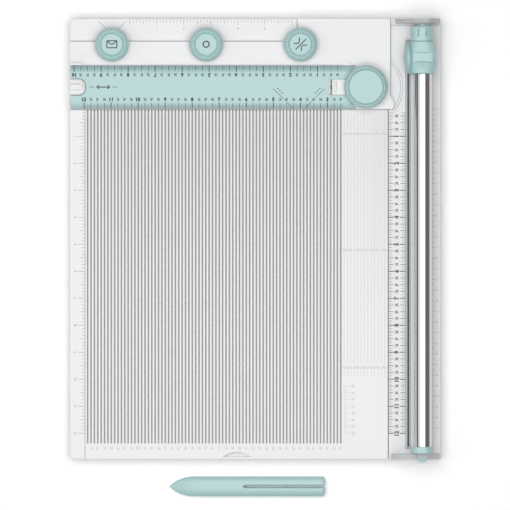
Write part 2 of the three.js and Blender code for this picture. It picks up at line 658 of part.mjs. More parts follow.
piece(board, "pivot_post", pivotPost(), ZINC, [pivotX, pivotY, 0]);
piece(board, "pivot_washer", pivotWasher(), ZINC, [pivotX, pivotY, 0]);
const pivotScrew = turnedOver(screw(PIVOT_HEAD_R, PIVOT_HEAD_H, PIVOT_SCREW_R, pivotScrewL));
piece(board, "pivot_screw", pivotScrew, ZINC, [pivotX, pivotY, postTopZ + WASHER_T]);
piece(arm, "arm_carrier", carrier(), WHITE);
piece(arm, "arm_ruler", ruler(), TEAL);
piece(arm, "arm_lock", slideLock(), WHITE);
piece(arm, "release_button", cap(KNOB_R, knobSkirtZ, knobCeilingZ), TEAL);
const knobSpringZ = [rulerTopZ + SPRING_SEAT, knobCeilingZ - SPRING_SEAT];
const knobSpring = coil(KNOB_SPRING_R, KNOB_SPRING_WIRE, ...knobSpringZ, KNOB_SPRING_TURNS);
piece(arm, "release_spring", knobSpring, ZINC);

// ---------------------------------------------------------------- cutter strip
const HINGE_D = 5.8; // hinge block at the strip's rear end
const LUG_W = 14;
const LUG_WALL = 1.7;
const SLOT_FRONT = 9.5; // guard slot, from the board's front edge
const SLOT_REAR = 20;
const MAT_T = 1.2;
const hingeY = rear - HINGE_D;
const pinY = rear - END_PLATE_T / 2;
const PLATE_LIFT = 0.75; // under the rear arch, so that its roll clears the hinge block
const pinZ = panelZ + PLATE_LIFT + END_PLATE_T / 2;
const lugX = [railX - LUG_W / 2, railX + LUG_W / 2];
const slotY = [front + SLOT_FRONT, rear - SLOT_REAR];

// Strip under the rail, with a channel for the cutting mat.
function trimStrip() {
  const x0 = trimX + SEAM / 2;
  const shape = outline([
    [x0, front], [right, front], [right, hingeY - SEAM], [trimRearX, hingeY - SEAM],
    [trimRearX, fenceY - SEAM], [x0, fenceY - SEAM],
  ]);
  const channel = block(cutX - MAT_W / 2, cutX + MAT_W / 2, ...slotY, panelZ - MAT_T, panelZ + OVER);
  return prism(shape, seatZ, panelZ).subtract(channel);
}

// Self-healing mat with the blade's groove along the cut line.
const MAT_FIT = 0.15;
function cuttingMat() {
  const x = MAT_W / 2 - MAT_FIT;
  const mat = block(cutX - x, cutX + x, slotY[0] + FIT, slotY[1] - FIT, panelZ - MAT_T, panelZ);
  const grooveX = [cutX - MAT_GROOVE_W / 2, cutX + MAT_GROOVE_W / 2];
  const grooveY = [slotY[0] + OVER, slotY[1] - OVER];
  return mat.subtract(block(...grooveX, ...grooveY, panelZ - MAT_GROOVE_DEPTH, panelZ + OVER));
}

// Block with the lug that carries the rail's hinge pin.
function hingeBlock() {
  const r = PIN_R + LUG_WALL;
  const profile = new THREE.Shape().moveTo(pinY - r, panelZ - OVER);
  profile.lineTo(rear, panelZ - OVER);
  profile.lineTo(rear, pinZ);
  profile.absarc(pinY, pinZ, END_PLATE_T / 2, 0, Math.PI);
  const bore = turnedX(disc(PIN_R + PIN_FIT, lugX[0] - OVER, lugX[1] + OVER)).translate(0, pinY, pinZ);
  return block(trimRearX, right, hingeY, rear, seatZ, panelZ).add(prismX(profile, ...lugX)).subtract(bore);
}

piece(board, "trim_strip", trimStrip(), GREY);
piece(board, "cutting_mat", cuttingMat(), MAT);
piece(board, "hinge_block", hingeBlock(), WHITE);

// ---------------------------------------------------------------- lifting rail with its clear guard
const rail = new THREE.Group();
board.add(rail);

const EDGE_INSET = 0.7; // of the clear pieces, from the board's right edge
const guardX = [trimRearX + EDGE_INSET, right - EDGE_INSET - FIT];
const guardY = [front + END_PLATE_T + SEAM, rear - END_PLATE_T - SEAM];
const ARC_R = 35.7; // the paper guard clears the arm's swinging corner
const ARCH_R = 14;
const ARCH_OVER = 4.7; // the clear arches stand this far above the rail
const archTopZ = railZ + RAIL_R + ARCH_OVER;
const REAR_PLATE_W = 42.3;
const rearPlateX = [right - EDGE_INSET - REAR_PLATE_W, right - EDGE_INSET];
const frontPlateX = [trimRearX + EDGE_INSET - FIT, right - EDGE_INSET];
const CAP_RIGHT = 0.6; // walls of the rail's two ends, left and right of the rail and over it
const CAP_LEFT = 3.1;
const CAP_OVER = 2.7;
const COLLAR_LEFT = 2.5;
const COLLAR_OVER = 1.2;
const capX = [railX - RAIL_R - CAP_LEFT, railX + RAIL_R + CAP_RIGHT];
const collarX = [railX - RAIL_R - COLLAR_LEFT, railX + RAIL_R + CAP_RIGHT];
const CAP_ROUND = 8;
const CAP_BORE = 8;
const COLLAR_BORE = 4;
const tongueX = railX - 0.9;
const TONGUE_H = 4.5;
const TONGUE_ROUND = 2;
const railY = [guardY[0] + FRONT_CAP_L - COLLAR_BORE + FIT, guardY[1] - REAR_CAP_L + CAP_BORE - FIT];
const guardZs = [guardZ - OVER, guardTopZ + OVER];

// Clear strip that holds the paper down, left of the blade, with a round cut-out beside the arm's pivot.
function paperGuard() {
  const arc = turned(disc(ARC_R, ...guardZs), 2 * FINE).translate(pivotX, pivotY, 0);
  return block(guardX[0], cutX - GUARD_SLOT / 2, ...guardY, guardZ, guardTopZ).subtract(arc);
}

// Clear strip right of the blade, under the rail, notched round the hinge lug.
function railGuard() {
  const lugNotch = block(lugX[0] - SEAM, lugX[1] + SEAM, guardY[1] - OVER, guardY[1] + OVER, ...guardZs);
  return block(cutX + GUARD_SLOT / 2, guardX[1], ...guardY, guardZ, guardTopZ).subtract(lugNotch);
}

const arch = ([x0, x1], z0) => plate(x0, x1, z0, archTopZ, [0, 0, ARCH_R, ARCH_R]);

// Rear clear arch: rolled round the hinge pin, and split there for the lug.
function rearPlate() {
  const t = END_PLATE_T / 2;
  const top = archTopZ;
  const roll = new THREE.Shape().moveTo(pinY + t, pinZ);
  roll.lineTo(pinY + t, top);
  roll.lineTo(pinY - t, top);
  roll.lineTo(pinY - t, pinZ);
  roll.absarc(pinY, pinZ, t, Math.PI, 2 * Math.PI);
  const pinBore = turnedX(disc(PIN_R + PIN_FIT, rearPlateX[0] + OVER, rearPlateX[1] - OVER));
  const lugX0 = lugX[0] - SEAM;
  const lugX1 = lugX[1] + SEAM;
  return prismX(roll, ...rearPlateX)
    .intersect(prismY(arch(rearPlateX, panelZ), rear - 2 * END_PLATE_T, rear + OVER))
    .subtract(block(lugX0, lugX1, hingeY - OVER, rear + OVER, panelZ - OVER, pinZ + t + PLATE_LIFT))
    .subtract(pinBore.translate(0, pinY, pinZ));
}

// Front clear arch, with a window that the lift tongue comes out of.
function frontPlate() {
  const halfW = TONGUE_W / 2 + SEAM;
  const halfH = TONGUE_H / 2 + SEAM;
  const windowY = [front - OVER, front + 2 * END_PLATE_T];
  return prismY(arch(frontPlateX, panelZ + SEAM), front, front + END_PLATE_T)
    .subtract(block(tongueX - halfW, tongueX + halfW, ...windowY, railZ - halfH, railZ + halfH));
}

// Slotted rear end cap with a blind bore for the rail.
const CAP_BACK = 2.1; // between the cap and the arch, bridged by its neck
const CAP_NECK_R = 6;
const CAP_SLOTS = [-4.5, 3]; // from the rail's axis
const CAP_SLOT = { w: 1.4, front: 4.2, rear: 2.4, depth: 3 };
const capCorners = [CAP_ROUND, CAP_ROUND, CAP_ROUND, CAP_ROUND];
function rearCap() {
  const y0 = guardY[1] - REAR_CAP_L;
  const y1 = guardY[1] - CAP_BACK;
  const reach = RAIL_R + CAP_OVER;
  const top = railZ + reach;
  const bore = turnedY(disc(RAIL_R + FIT, y0 - OVER, y0 + CAP_BORE), FINE).translate(railX, 0, railZ);
  const neck = turnedY(disc(CAP_NECK_R, y1 - OVER, guardY[1]), FINE).translate(railX, 0, railZ);
  let made = prismY(plate(...capX, railZ - reach, top, capCorners), y0, y1).add(neck).subtract(bore);
  for (const offset of CAP_SLOTS) {
    const x = railX + offset;
    const slotX = [x - CAP_SLOT.w / 2, x + CAP_SLOT.w / 2];
    const slotY = [y0 + CAP_SLOT.front, y1 - CAP_SLOT.rear];
    made = made.subtract(block(...slotX, ...slotY, top - CAP_SLOT.depth, top + OVER));
  }
  return made;
}

// Front collar with a blind bore for the rail and the tongue that the rail is lifted by.
function frontCap() {
  const y0 = guardY[0];
  const y1 = y0 + FRONT_CAP_L;
  const tipX = [tongueX - TONGUE_W / 2, tongueX + TONGUE_W / 2];
  const tip = plate(...tipX, front - TONGUE_OUT, y0 + OVER, [TONGUE_ROUND, TONGUE_ROUND, 0, 0]);
  const bore = turnedY(disc(RAIL_R + FIT, y1 - COLLAR_BORE, y1 + OVER), FINE).translate(railX, 0, railZ);
  const reach = RAIL_R + COLLAR_OVER;
  return prismY(plate(...collarX, railZ - reach, railZ + reach, capCorners), y0, y1)
    .add(prism(tip, railZ - TONGUE_H / 2, railZ + TONGUE_H / 2))
    .subtract(bore);
}

const railTube = () => turnedY(ring(RAIL_R - RAIL_WALL, RAIL_R, ...railY), FINE);
const PIN_INSET = 1.5;
const hingePin = () => turnedX(disc(PIN_R, rearPlateX[0] + PIN_INSET, rearPlateX[1] - PIN_INSET));

piece(rail, "paper_guard", paperGuard(), CLEAR);
piece(rail, "rail_guard", railGuard(), CLEAR);
piece(rail, "rear_end_plate", rearPlate(), CLEAR);
piece(rail, "front_end_plate", frontPlate(), CLEAR);
piece(rail, "rear_rail_cap", rearCap(), TEAL);
piece(rail, "front_rail_cap", frontCap(), TEAL);
piece(rail, "rail_tube", railTube(), STEEL, [railX, 0, railZ]);
piece(rail, "hinge_pin", hingePin(), STEEL, [0, pinY, pinZ]);

// ---------------------------------------------------------------- carriage, about the middle of its blade
const carriage = new THREE.Group();
const HOUSING_WALL = 1.15;
const HOUSING_R = BLADE_R + HOUSING_WALL;
const carriageRear = guardY[1] - REAR_CAP_L - SEAM;
const carriageY = carriageRear - HOUSING_R;
carriage.position.set(0, carriageY, 0);
rail.add(carriage);

const BORE_R = RAIL_R + RUN_GAP + BUSH_WALL + PIN_FIT;
const BARREL_ROUND = 0.8;
const SADDLE_FALL = 2; // half length of the slope down to the saddle
const WALL_X = 6; // thickness of the housing's inner wall
const SADDLE_SINK = 1; // of the finger saddle, below the barrel
const SADDLE_Y = 6; // half length of the finger saddle
const BUSH_L = 6;
const BLADE_GAP = 0.35; // each side of the blade, with the walls of its pocket
const AXLE_R = 2.5;
const HUB_GAP = 0.12;
const AXLE_L = 3.4;
const COVER_SCREW_R = 1;
const COVER_HEAD_R = 2.2;
const pocket = BLADE_T / 2 + BLADE_GAP;
const underZ = railZ - barrelR; // the carriage is cut flat here

// Barrel round the rail with a finger saddle, joined to the inner wall of the blade housing.
function carriageBody() {
  const end = HOUSING_R;
  const shoulder = SADDLE_Y + SADDLE_FALL;
  const bottom = SADDLE_Y - SADDLE_FALL;
  const rimR = barrelR - BARREL_ROUND;
  const saddleR = barrelR - SADDLE_SINK;
  const barrel = turnedY([
    [0, -end], [rimR, -end], [barrelR, BARREL_ROUND - end], [barrelR, -shoulder], [saddleR, -bottom],
    [saddleR, bottom], [barrelR, shoulder], [barrelR, end - BARREL_ROUND], [rimR, end], [0, end],
  ], FINE).translate(railX, 0, railZ);
  const wall = turnedX(disc(HOUSING_R, pocket + HUB_GAP, WALL_X), FINE).translate(cutX, 0, bladeZ);
  const axleHole = turnedX(disc(AXLE_R + FIT / 2, 0, AXLE_L + FIT)).translate(cutX, 0, bladeZ);
  const bore = turnedY(disc(BORE_R, -end - OVER, end + OVER), FINE).translate(railX, 0, railZ);
  return wall
    .subtract(block(cutX - OVER, cutX + 2 * barrelR, -end, end, bladeZ - 2 * HOUSING_R, underZ))
    .add(barrel)
    .subtract(bore)
    .subtract(axleHole);
}

// Domed cover over the blade's open side, cut flat where the blade comes out.
const DOME = [[6, -3.8], [11, -2.9], [14, -1.7], [HOUSING_R, -0.7]]; // [radius, height] from hub to rim
const HUB_X = -4;
function bladeCover() {
  const r = HOUSING_R;
  const hubR = COVER_SCREW_R + FIT;
  const innerR = BLADE_R + 2 * FIT;
  const dome = turnedX([
    [hubR, -pocket], [hubR, HUB_X], ...DOME,
    [r, pocket], [innerR, pocket], [innerR, -pocket], [hubR, -pocket],
  ], FINE).translate(cutX, 0, bladeZ);
  return dome.subtract(block(cutX - 2 * r, cutX + OVER, -r, r, bladeZ - 2 * r, underZ));
}

const BLADE_EDGE = 0.9; // width of the ground edge
const blade = () => {
  const hubR = AXLE_R + HUB_GAP;
  const groundR = BLADE_R - BLADE_EDGE;
  const t = BLADE_T / 2;
  return turnedX([[hubR, -t], [groundR, -t], [BLADE_R, 0], [groundR, t], [hubR, t], [hubR, -t]], FINE);
};
const axle = () => turnedX(ring(COVER_SCREW_R + FIT, AXLE_R, HUB_GAP - pocket, AXLE_L));
const COVER_HEAD_T = 0.7;
const COVER_HEAD_ROUND = 0.4;
const COVER_SCREW_END = 2;
const coverScrew = () => {
  const top = HUB_X - COVER_HEAD_T;
  const rimR = COVER_HEAD_R - COVER_HEAD_ROUND;
  return turnedX([
    [0, top], [rimR, top], [COVER_HEAD_R, top + COVER_HEAD_ROUND], [COVER_HEAD_R, HUB_X],
    [COVER_SCREW_R, HUB_X], [COVER_SCREW_R, COVER_SCREW_END], [0, COVER_SCREW_END],
  ]);
};
const BUSH_INSET = 0.5; // from the barrel's ends
const bush = () => turnedY(ring(RAIL_R + RUN_GAP, RAIL_R + RUN_GAP + BUSH_WALL, 0, BUSH_L), FINE);

piece(carriage, "carriage_body", carriageBody(), TEAL);
piece(carriage, "blade_cover", bladeCover(), TEAL);
piece(carriage, "rotary_blade", blade(), STEEL, [cutX, 0, bladeZ]);
piece(carriage, "blade_axle", axle(), ZINC, [cutX, 0, bladeZ]);
piece(carriage, "cover_screw", coverScrew(), ZINC, [cutX, 0, bladeZ]);
piece(carriage, "front_bush", bush(), WHITE, [railX, BUSH_INSET - HOUSING_R, railZ]);
piece(carriage, "rear_bush", bush(), WHITE, [railX, HOUSING_R - BUSH_L - BUSH_INSET, railZ]);

// ---------------------------------------------------------------- loose scoring tool
const TIP_L = 23;
const TOOL_TIP_H = 2.5;
const TOOL_ROUND = 3;
const TOOL_SIDE = 0.55; // height of its upright sides, of the whole
const TOOL_SHOULDER = 0.9; // where the crown is fullest, of half the width
function scoringTool() {
  const x0 = TOOL_X - TOOL_L / 2;
  const x1 = TOOL_X + TOOL_L / 2;
  const w = TOOL_W / 2;
  const r = (TIP_L * TIP_L + w * w) / (2 * w); // both flanks of the tip are arcs that meet in a point
  const sweep = Math.asin(TIP_L / r);
  const shape = new THREE.Shape().moveTo(x0, 0);
  shape.absarc(x0 + TIP_L, r - w, r, 1.5 * Math.PI - sweep, 1.5 * Math.PI);
  shape.lineTo(x1 - TOOL_ROUND, -w);
  shape.absarc(x1 - TOOL_ROUND, TOOL_ROUND - w, TOOL_ROUND, -Math.PI / 2, 0);
  shape.lineTo(x1, w - TOOL_ROUND);
  shape.absarc(x1 - TOOL_ROUND, w - TOOL_ROUND, TOOL_ROUND, 0, Math.PI / 2);
  shape.lineTo(x0 + TIP_L, w);
  shape.absarc(x0 + TIP_L, w - r, r, Math.PI / 2, Math.PI / 2 + sweep);
  const crown = new THREE.Shape().moveTo(-w, 0);
  crown.lineTo(w, 0);
  crown.lineTo(w, TOOL_H * TOOL_SIDE);
  crown.quadraticCurveTo(w * TOOL_SHOULDER, TOOL_H, 0, TOOL_H);
  crown.quadraticCurveTo(-w * TOOL_SHOULDER, TOOL_H, -w, TOOL_H * TOOL_SIDE);
  const above = TOOL_H + OVER;
  const side = outline([
    [x0 - OVER, 0], [x1 + OVER, 0], [x1 + OVER, above], [x0 + 1.5 * TIP_L, above], [x0, TOOL_TIP_H],
    [x0 - OVER, TOOL_TIP_H],
  ]);
  const slotY = TOOL_SLOT_W / 2;
  return prism(shape, 0, TOOL_H, 6)
    .intersect(prismX(crown, x0 - OVER, x1 + OVER, 5))
    .intersect(prismY(side, -TOOL_W, TOOL_W))
    .subtract(block(x1 - TOOL_SLOT_L, x1 + OVER, -slotY, slotY, -OVER, above));
}
piece(board, "scoring_tool", scoringTool(), TEAL, [0, front - TOOL_FRONT_GAP - TOOL_W / 2, 0]);

// The set's own middle, on the table, is the origin.
board.position.y = (TOOL_FRONT_GAP + TOOL_W) / 2;

export default model;
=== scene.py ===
"""Rotary paper trimmer with score board, punches, ruler arm and scoring tool: its detailed look
around the CAD frame."""

import json
import math

import bmesh
import bpy
import numpy as np
from bpy.props import FloatProperty, FloatVectorProperty, PointerProperty
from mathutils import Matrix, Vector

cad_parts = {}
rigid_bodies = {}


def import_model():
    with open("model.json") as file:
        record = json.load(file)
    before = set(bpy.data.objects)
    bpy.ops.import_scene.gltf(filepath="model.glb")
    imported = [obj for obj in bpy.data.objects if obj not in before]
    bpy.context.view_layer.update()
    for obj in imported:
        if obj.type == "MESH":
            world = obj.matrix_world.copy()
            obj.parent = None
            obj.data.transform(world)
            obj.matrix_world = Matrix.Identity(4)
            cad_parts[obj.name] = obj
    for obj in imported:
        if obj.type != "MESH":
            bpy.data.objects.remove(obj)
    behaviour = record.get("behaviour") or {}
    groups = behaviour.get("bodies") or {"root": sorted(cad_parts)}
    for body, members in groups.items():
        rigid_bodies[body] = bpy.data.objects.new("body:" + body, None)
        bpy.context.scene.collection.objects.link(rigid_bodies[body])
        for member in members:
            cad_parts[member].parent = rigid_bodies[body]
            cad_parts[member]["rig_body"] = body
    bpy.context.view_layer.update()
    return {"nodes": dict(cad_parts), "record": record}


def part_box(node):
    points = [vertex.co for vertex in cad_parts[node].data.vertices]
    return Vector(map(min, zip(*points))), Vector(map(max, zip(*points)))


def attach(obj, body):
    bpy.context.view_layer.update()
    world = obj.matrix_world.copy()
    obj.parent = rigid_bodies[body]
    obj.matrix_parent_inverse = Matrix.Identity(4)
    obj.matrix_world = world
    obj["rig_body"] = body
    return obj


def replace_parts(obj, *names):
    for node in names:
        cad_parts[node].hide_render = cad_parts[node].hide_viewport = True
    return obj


bl_info = {
    "name": "Paper Trimmer Looks",
    "version": (1, 0, 0),
    "blender": (4, 5, 0),
    "location": "View3D > Sidebar > Trimmer",
    "description": "Builds the visible surfaces, printed scales and finishes of a "
                   "rotary paper trimmer",
    "category": "Object",
}

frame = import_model()

MM = 0.001
INCH = 25.4 * MM


def low(node):
    """Lowest corner of a CAD node at rest."""
    return np.array(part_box(node)[0])


def high(node):
    """Highest corner of a CAD node at rest."""
    return np.array(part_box(node)[1])


def middle(node):
    """Centre of a CAD node's box at rest."""
    return (low(node) + high(node)) / 2


# Places that many pieces share, all read from the frame.
PANEL_Z = high("score_panel")[2]
RULER_Z = low("arm_ruler")[2] + 2.5 * MM
FENCE_Y = low("rear_deck")[1]
CUT_X = middle("rotary_blade")[0]
PIVOT = middle("pivot_post")
RAIL = middle("rail_tube")
BLADE = middle("rotary_blade")
BOARD_LOW = low("base_shell")
BOARD_HIGH = high("base_shell")
INK_LIFT = 0.03 * MM  # printed ink stands this proud of its surface


# ---------------------------------------------------------------- settings
class TrimmerSizes(bpy.types.PropertyGroup):
    """Sizes of the visible details that the CAD frame leaves open."""

    edge: FloatProperty(name="Moulded edge", description="Radius on the edges of moulded parts",
                        default=0.35 * MM, unit="LENGTH")
    knob_chamfer: FloatProperty(name="Knob rim",
                                description="Width of the rounded rim of the pivot button",
                                default=2.7 * MM, unit="LENGTH")
    tick_width: FloatProperty(name="Tick width", description="Width of a printed scale tick",
                              default=0.36 * MM, unit="LENGTH")
    numeral: FloatProperty(name="Numeral height", description="Height of the whole-inch numerals",
                           default=3.3 * MM, unit="LENGTH")
    icon_stroke: FloatProperty(name="Icon stroke",
                               description="Width of the strokes of the button icons",
                               default=0.95 * MM, unit="LENGTH")


def colour_property(name, description, hex_value):
    """A colour setting whose default is an sRGB hex value turned to linear."""
    return FloatVectorProperty(name=name, description=description, size=3, subtype="COLOR",
                               min=0.0, max=1.0, default=linear(hex_value)[:3])


def linear(hex_value):
    """sRGB hex value as linear RGBA: ((c + 0.055) / 1.055) ** 2.4 above the toe, c / 12.92 in
    it."""
    c = np.array([(hex_value >> shift) & 255 for shift in (16, 8, 0)]) / 255.0
    c = np.where(c <= 0.04045, c / 12.92, ((c + 0.055) / 1.055) ** 2.4)
    return (*c.tolist(), 1.0)


class TrimmerColours(bpy.types.PropertyGroup):
    """Colours of the finishes."""

    white: colour_property("White ABS", "Moulded panels of the board", 0xDFDFE0)
    grey: colour_property("Grey ABS", "Cutter strip and hinge block", 0xDADADB)
    teal: colour_property("Teal ABS", "Arm, buttons, caps, carriage and scoring tool", 0xA5C5C4)
    ink: colour_property("Dark ink", "Scales and icons", 0x24363A)
    pale_ink: colour_property("Pale ink", "Faint guide lines and numerals on the panels", 0xC4C4C6)
    steel: colour_property("Steel", "Rail and blade", 0xCFCFD1)


# ---------------------------------------------------------------- materials
def node(tree, kind, links=(), **settings):
    """Adds a shader node, sets its inputs or attributes, and links (output socket, input name)
    pairs to it."""
    made = tree.nodes.new(kind)
    for key, value in settings.items():
        name = key.replace("_", " ")
        if name in made.inputs:
            made.inputs[name].default_value = value
        else:
            setattr(made, key, value)
    for source, target in links:
        tree.links.new(source, made.inputs[target])
    return made


def finish(name):
    """An empty node material and its tree."""
    material = bpy.data.materials.new(name)
    material.use_nodes = True
    material.node_tree.nodes.clear()
    return material, material.node_tree


def surface(tree, shader):
    """Sends the shader to the material output."""
    node(tree, "ShaderNodeOutputMaterial", [(shader.outputs[0], "Surface")])


def moulded_abs(name, colour, grain_mm=0.45, roughness=0.42, groove=None):
    """Injection-moulded ABS: satin, with the fine spark-eroded grain of the mould, faint flow
    clouds in the colour and slightly uneven gloss. With groove=(z, depth, shade) the colour is
    blended towards a painted shade below z: painted shade in score grooves and down sloping
    edges, standing in for the shade that their walls and slopes get."""
    material, tree = finish(name)
    place = node(tree, "ShaderNodeTexCoord").outputs["Object"]
    grain = node(tree, "ShaderNodeTexNoise", [(place, "Vector")],
                 Scale=1 / (grain_mm * MM), Detail=2.0)
    clouds = node(tree, "ShaderNodeTexNoise", [(place, "Vector")], Scale=22.0, Detail=3.0)
    tint = node(tree, "ShaderNodeMapRange", [(clouds.outputs[0], "Value")])
    tint.inputs["To Min"].default_value = 0.985
    tint.inputs["To Max"].default_value = 1.015
    rgb = node(tree, "ShaderNodeVectorMath", [(tint.outputs[0], 1)], operation="MULTIPLY")
    rgb.inputs[0].default_value = tuple(colour)[:3]
    colour_out = rgb.outputs[0]
    if groove:
        z, depth, shade = groove
        # Painted shade: the colour darkens with depth below z, in place of the shade inside grooves
        # and down bevels.
        split = node(tree, "ShaderNodeSeparateXYZ", [(place, "Vector")])
        painted_shade_depth = node(tree, "ShaderNodeMapRange", [(split.outputs["Z"], "Value")])
        painted_shade_depth.inputs["From Min"].default_value = z - 0.05 * MM
        painted_shade_depth.inputs["From Max"].default_value = z - depth
        painted_shade_mix = node(tree, "ShaderNodeMix", [(painted_shade_depth.outputs[0], 0), (colour_out, 6)],
                      data_type="RGBA")
        painted_shade_mix.inputs[7].default_value = shade
        colour_out = painted_shade_mix.outputs[2]
    gloss = node(tree, "ShaderNodeMapRange", [(clouds.outputs[0], "Value")])
    gloss.inputs["To Min"].default_value = roughness - 0.05
    gloss.inputs["To Max"].default_value = roughness + 0.05
    bump = node(tree, "ShaderNodeBump", [(grain.outputs[0], "Height")],
                Strength=0.12, Distance=0.02 * MM)
    shader = node(tree, "ShaderNodeBsdfPrincipled",
                  [(colour_out, "Base Color"), (gloss.outputs[0], "Roughness"),
                   (bump.outputs[0], "Normal")],
                  IOR=1.54)
    surface(tree, shader)
    return material


def polished_steel(name, colour, roughness=0.1, line_mm=0.5, axis=(0.02, 1.0, 1.0)):
    """Polished stainless steel: a near mirror, softened along one direction by the belt's fine
    lines."""
    material, tree = finish(name)
    place = node(tree, "ShaderNodeTexCoord").outputs["Object"]
    stretch = node(tree, "ShaderNodeMapping", [(place, "Vector")])
    stretch.inputs["Scale"].default_value = axis
    lines = node(tree, "ShaderNodeTexNoise", [(stretch.outputs[0], "Vector")],
                 Scale=1 / (line_mm * MM), Detail=3.0)
    gloss = node(tree, "ShaderNodeMapRange", [(lines.outputs[0], "Value")])
    gloss.inputs["To Min"].default_value = roughness * 0.7
    gloss.inputs["To Max"].default_value = roughness * 1.3
    bump = node(tree, "ShaderNodeBump", [(lines.outputs[0], "Height")],
                Strength=0.05, Distance=0.01 * MM)
    shader = node(tree, "ShaderNodeBsdfPrincipled",
                  [(gloss.outputs[0], "Roughness"), (bump.outputs[0], "Normal")], Metallic=1.0)
    shader.inputs["Base Color"].default_value = (*tuple(colour)[:3], 1.0)
    surface(tree, shader)
    return material


def clear_acrylic(name, tint, alpha):
    """Moulded clear acrylic: mostly see-through, with a hard gloss and faint moulding swirls in the
    surface."""
    material, tree = finish(name)
    place = node(tree, "ShaderNodeTexCoord").outputs["Object"]
    swirl = node(tree, "ShaderNodeTexNoise", [(place, "Vector")], Scale=60.0, Detail=1.0)
    bump = node(tree, "ShaderNodeBump", [(swirl.outputs[0], "Height")],
                Strength=0.04, Distance=0.1 * MM)
    shader = node(tree, "ShaderNodeBsdfPrincipled", [(bump.outputs[0], "Normal")],
                  Roughness=0.14, IOR=1.49, Alpha=alpha)
    shader.inputs["Base Color"].default_value = linear(tint)
    surface(tree, shader)
    return material


def printed_ink(name, colour, roughness=0.55):
    """Pad-printed ink: flat and matt, with a slightly uneven film."""
    material, tree = finish(name)
    place = node(tree, "ShaderNodeTexCoord").outputs["Object"]
    film = node(tree, "ShaderNodeTexNoise", [(place, "Vector")], Scale=900.0, Detail=2.0)
    level = node(tree, "ShaderNodeMapRange", [(film.outputs[0], "Value")])
    level.inputs["To Min"].default_value = 0.9
    level.inputs["To Max"].default_value = 1.1
    rgb = node(tree, "ShaderNodeVectorMath", [(level.outputs[0], 1)], operation="MULTIPLY")
    rgb.inputs[0].default_value = tuple(colour)[:3]
    shader = node(tree, "ShaderNodeBsdfPrincipled", [(rgb.outputs[0], "Base Color")],
                  Roughness=roughness)
    surface(tree, shader)
    return material


def moulded_rubber(name, tint, grain_mm=0.8):
    """Moulded rubber or self-healing vinyl: dull and dense, with a coarse open grain."""
    material, tree = finish(name)
    place = node(tree, "ShaderNodeTexCoord").outputs["Object"]
    grain = node(tree, "ShaderNodeTexNoise", [(place, "Vector")],
                 Scale=1 / (grain_mm * MM), Detail=4.0)
    level = node(tree, "ShaderNodeMapRange", [(grain.outputs[0], "Value")])
    level.inputs["To Min"].default_value = 0.85
    level.inputs["To Max"].default_value = 1.15
    rgb = node(tree, "ShaderNodeVectorMath", [(level.outputs[0], 1)], operation="MULTIPLY")
    rgb.inputs[0].default_value = linear(tint)[:3]
    bump = node(tree, "ShaderNodeBump", [(grain.outputs[0], "Height")],
                Strength=0.3, Distance=0.05 * MM)
    shader = node(tree, "ShaderNodeBsdfPrincipled",
                  [(rgb.outputs[0], "Base Color"), (bump.outputs[0], "Normal")], Roughness=0.85)
    surface(tree, shader)
    return material


FINISHES = {}


def make_finishes(colours):
    """One material per real finish, kept by slot name."""
    # Painted shade: the score panel's grooves darken towards this grey below the panel's top face.
    groove_shade = linear(0x8D8D90)
    FINISHES.update(
        white_abs=moulded_abs("moulded white ABS", colours.white),
        panel_abs=moulded_abs("moulded white ABS, scored, painted groove shade", colours.white,
                              groove=(PANEL_Z, 0.7 * MM, groove_shade)),
        grey_abs=moulded_abs("moulded pale grey ABS", colours.grey),
        teal_abs=moulded_abs("moulded teal ABS", colours.teal, roughness=0.36),
        # Painted shade: the arm's bevelled edges darken towards this deeper teal as they fall below
        # the ruler's top.
        ruler_abs=moulded_abs("moulded teal ABS, bevelled, painted edge shade", colours.teal, roughness=0.36,
                              groove=(RULER_Z, 1.9 * MM, linear(0x7F9B9B))),
        clear_acrylic=clear_acrylic("clear acrylic", 0xF4F5F6, 0.035),
        clear_arch=clear_acrylic("clear acrylic, thick arch", 0xC2C4C5, 0.3),
        polished_steel=polished_steel("polished stainless steel", colours.steel),
        tool_steel=polished_steel("ground tool steel", colours.steel, roughness=0.22,
                                  axis=(1.0, 1.0, 0.05)),
        zinc_steel=polished_steel("zinc-plated steel", colours.steel, roughness=0.35,
                                  axis=(1.0, 1.0, 1.0)),
        cutting_mat=moulded_rubber("self-healing vinyl", 0xB4B7B8, grain_mm=0.5),
        rubber_foot=moulded_rubber("moulded rubber", 0x232425),
        dark_ink=printed_ink("dark pad-printed ink", colours.ink),
        grey_ink=printed_ink("grey pad-printed ink", linear(0x77797C)),
        pale_ink=printed_ink("pale pad-printed ink", colours.pale_ink),
    )


# ---------------------------------------------------------------- meshes
SLOTS = {part["node"]: part["material_slot"] for part in frame["record"]["subparts"]}


def show(mesh, name, material, body, smooth=30.0):
    """Puts a mesh in the scene as a piece of the body, smooth wherever its faces meet at less than
    smooth degrees."""
    mesh.materials.clear()
    mesh.materials.append(FINISHES[material])
    mesh.shade_smooth()
    mesh.set_sharp_from_angle(angle=math.radians(smooth))
    piece = bpy.data.objects.new(name, mesh)
    bpy.context.scene.collection.objects.link(piece)
    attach(piece, body)
    return piece


def closed_mesh(name, points, faces):
    """Mesh of the points and faces, its seams and poles merged and its faces turned outwards."""
    mesh = bpy.data.meshes.new(name)
    mesh.from_pydata(points.reshape(-1, 3).tolist(), [], faces.tolist())
    shape = bmesh.new()
    shape.from_mesh(mesh)
    bmesh.ops.remove_doubles(shape, verts=shape.verts, dist=1e-6)
    bmesh.ops.dissolve_degenerate(shape, edges=shape.edges, dist=1e-7)
    bmesh.ops.recalc_face_normals(shape, faces=shape.faces)
    shape.to_mesh(mesh)
    shape.free()
    return mesh


def grid_faces(rows, columns):
    """Quads of a grid of rows by columns points whose columns run round and meet."""
    i, j = np.meshgrid(np.arange(rows - 1), np.arange(columns), indexing="ij")
    k = (j + 1) % columns
    quads = [i * columns + j, i * columns + k, (i + 1) * columns + k, (i + 1) * columns + j]
    return np.stack(quads, axis=-1).reshape(-1, 4)


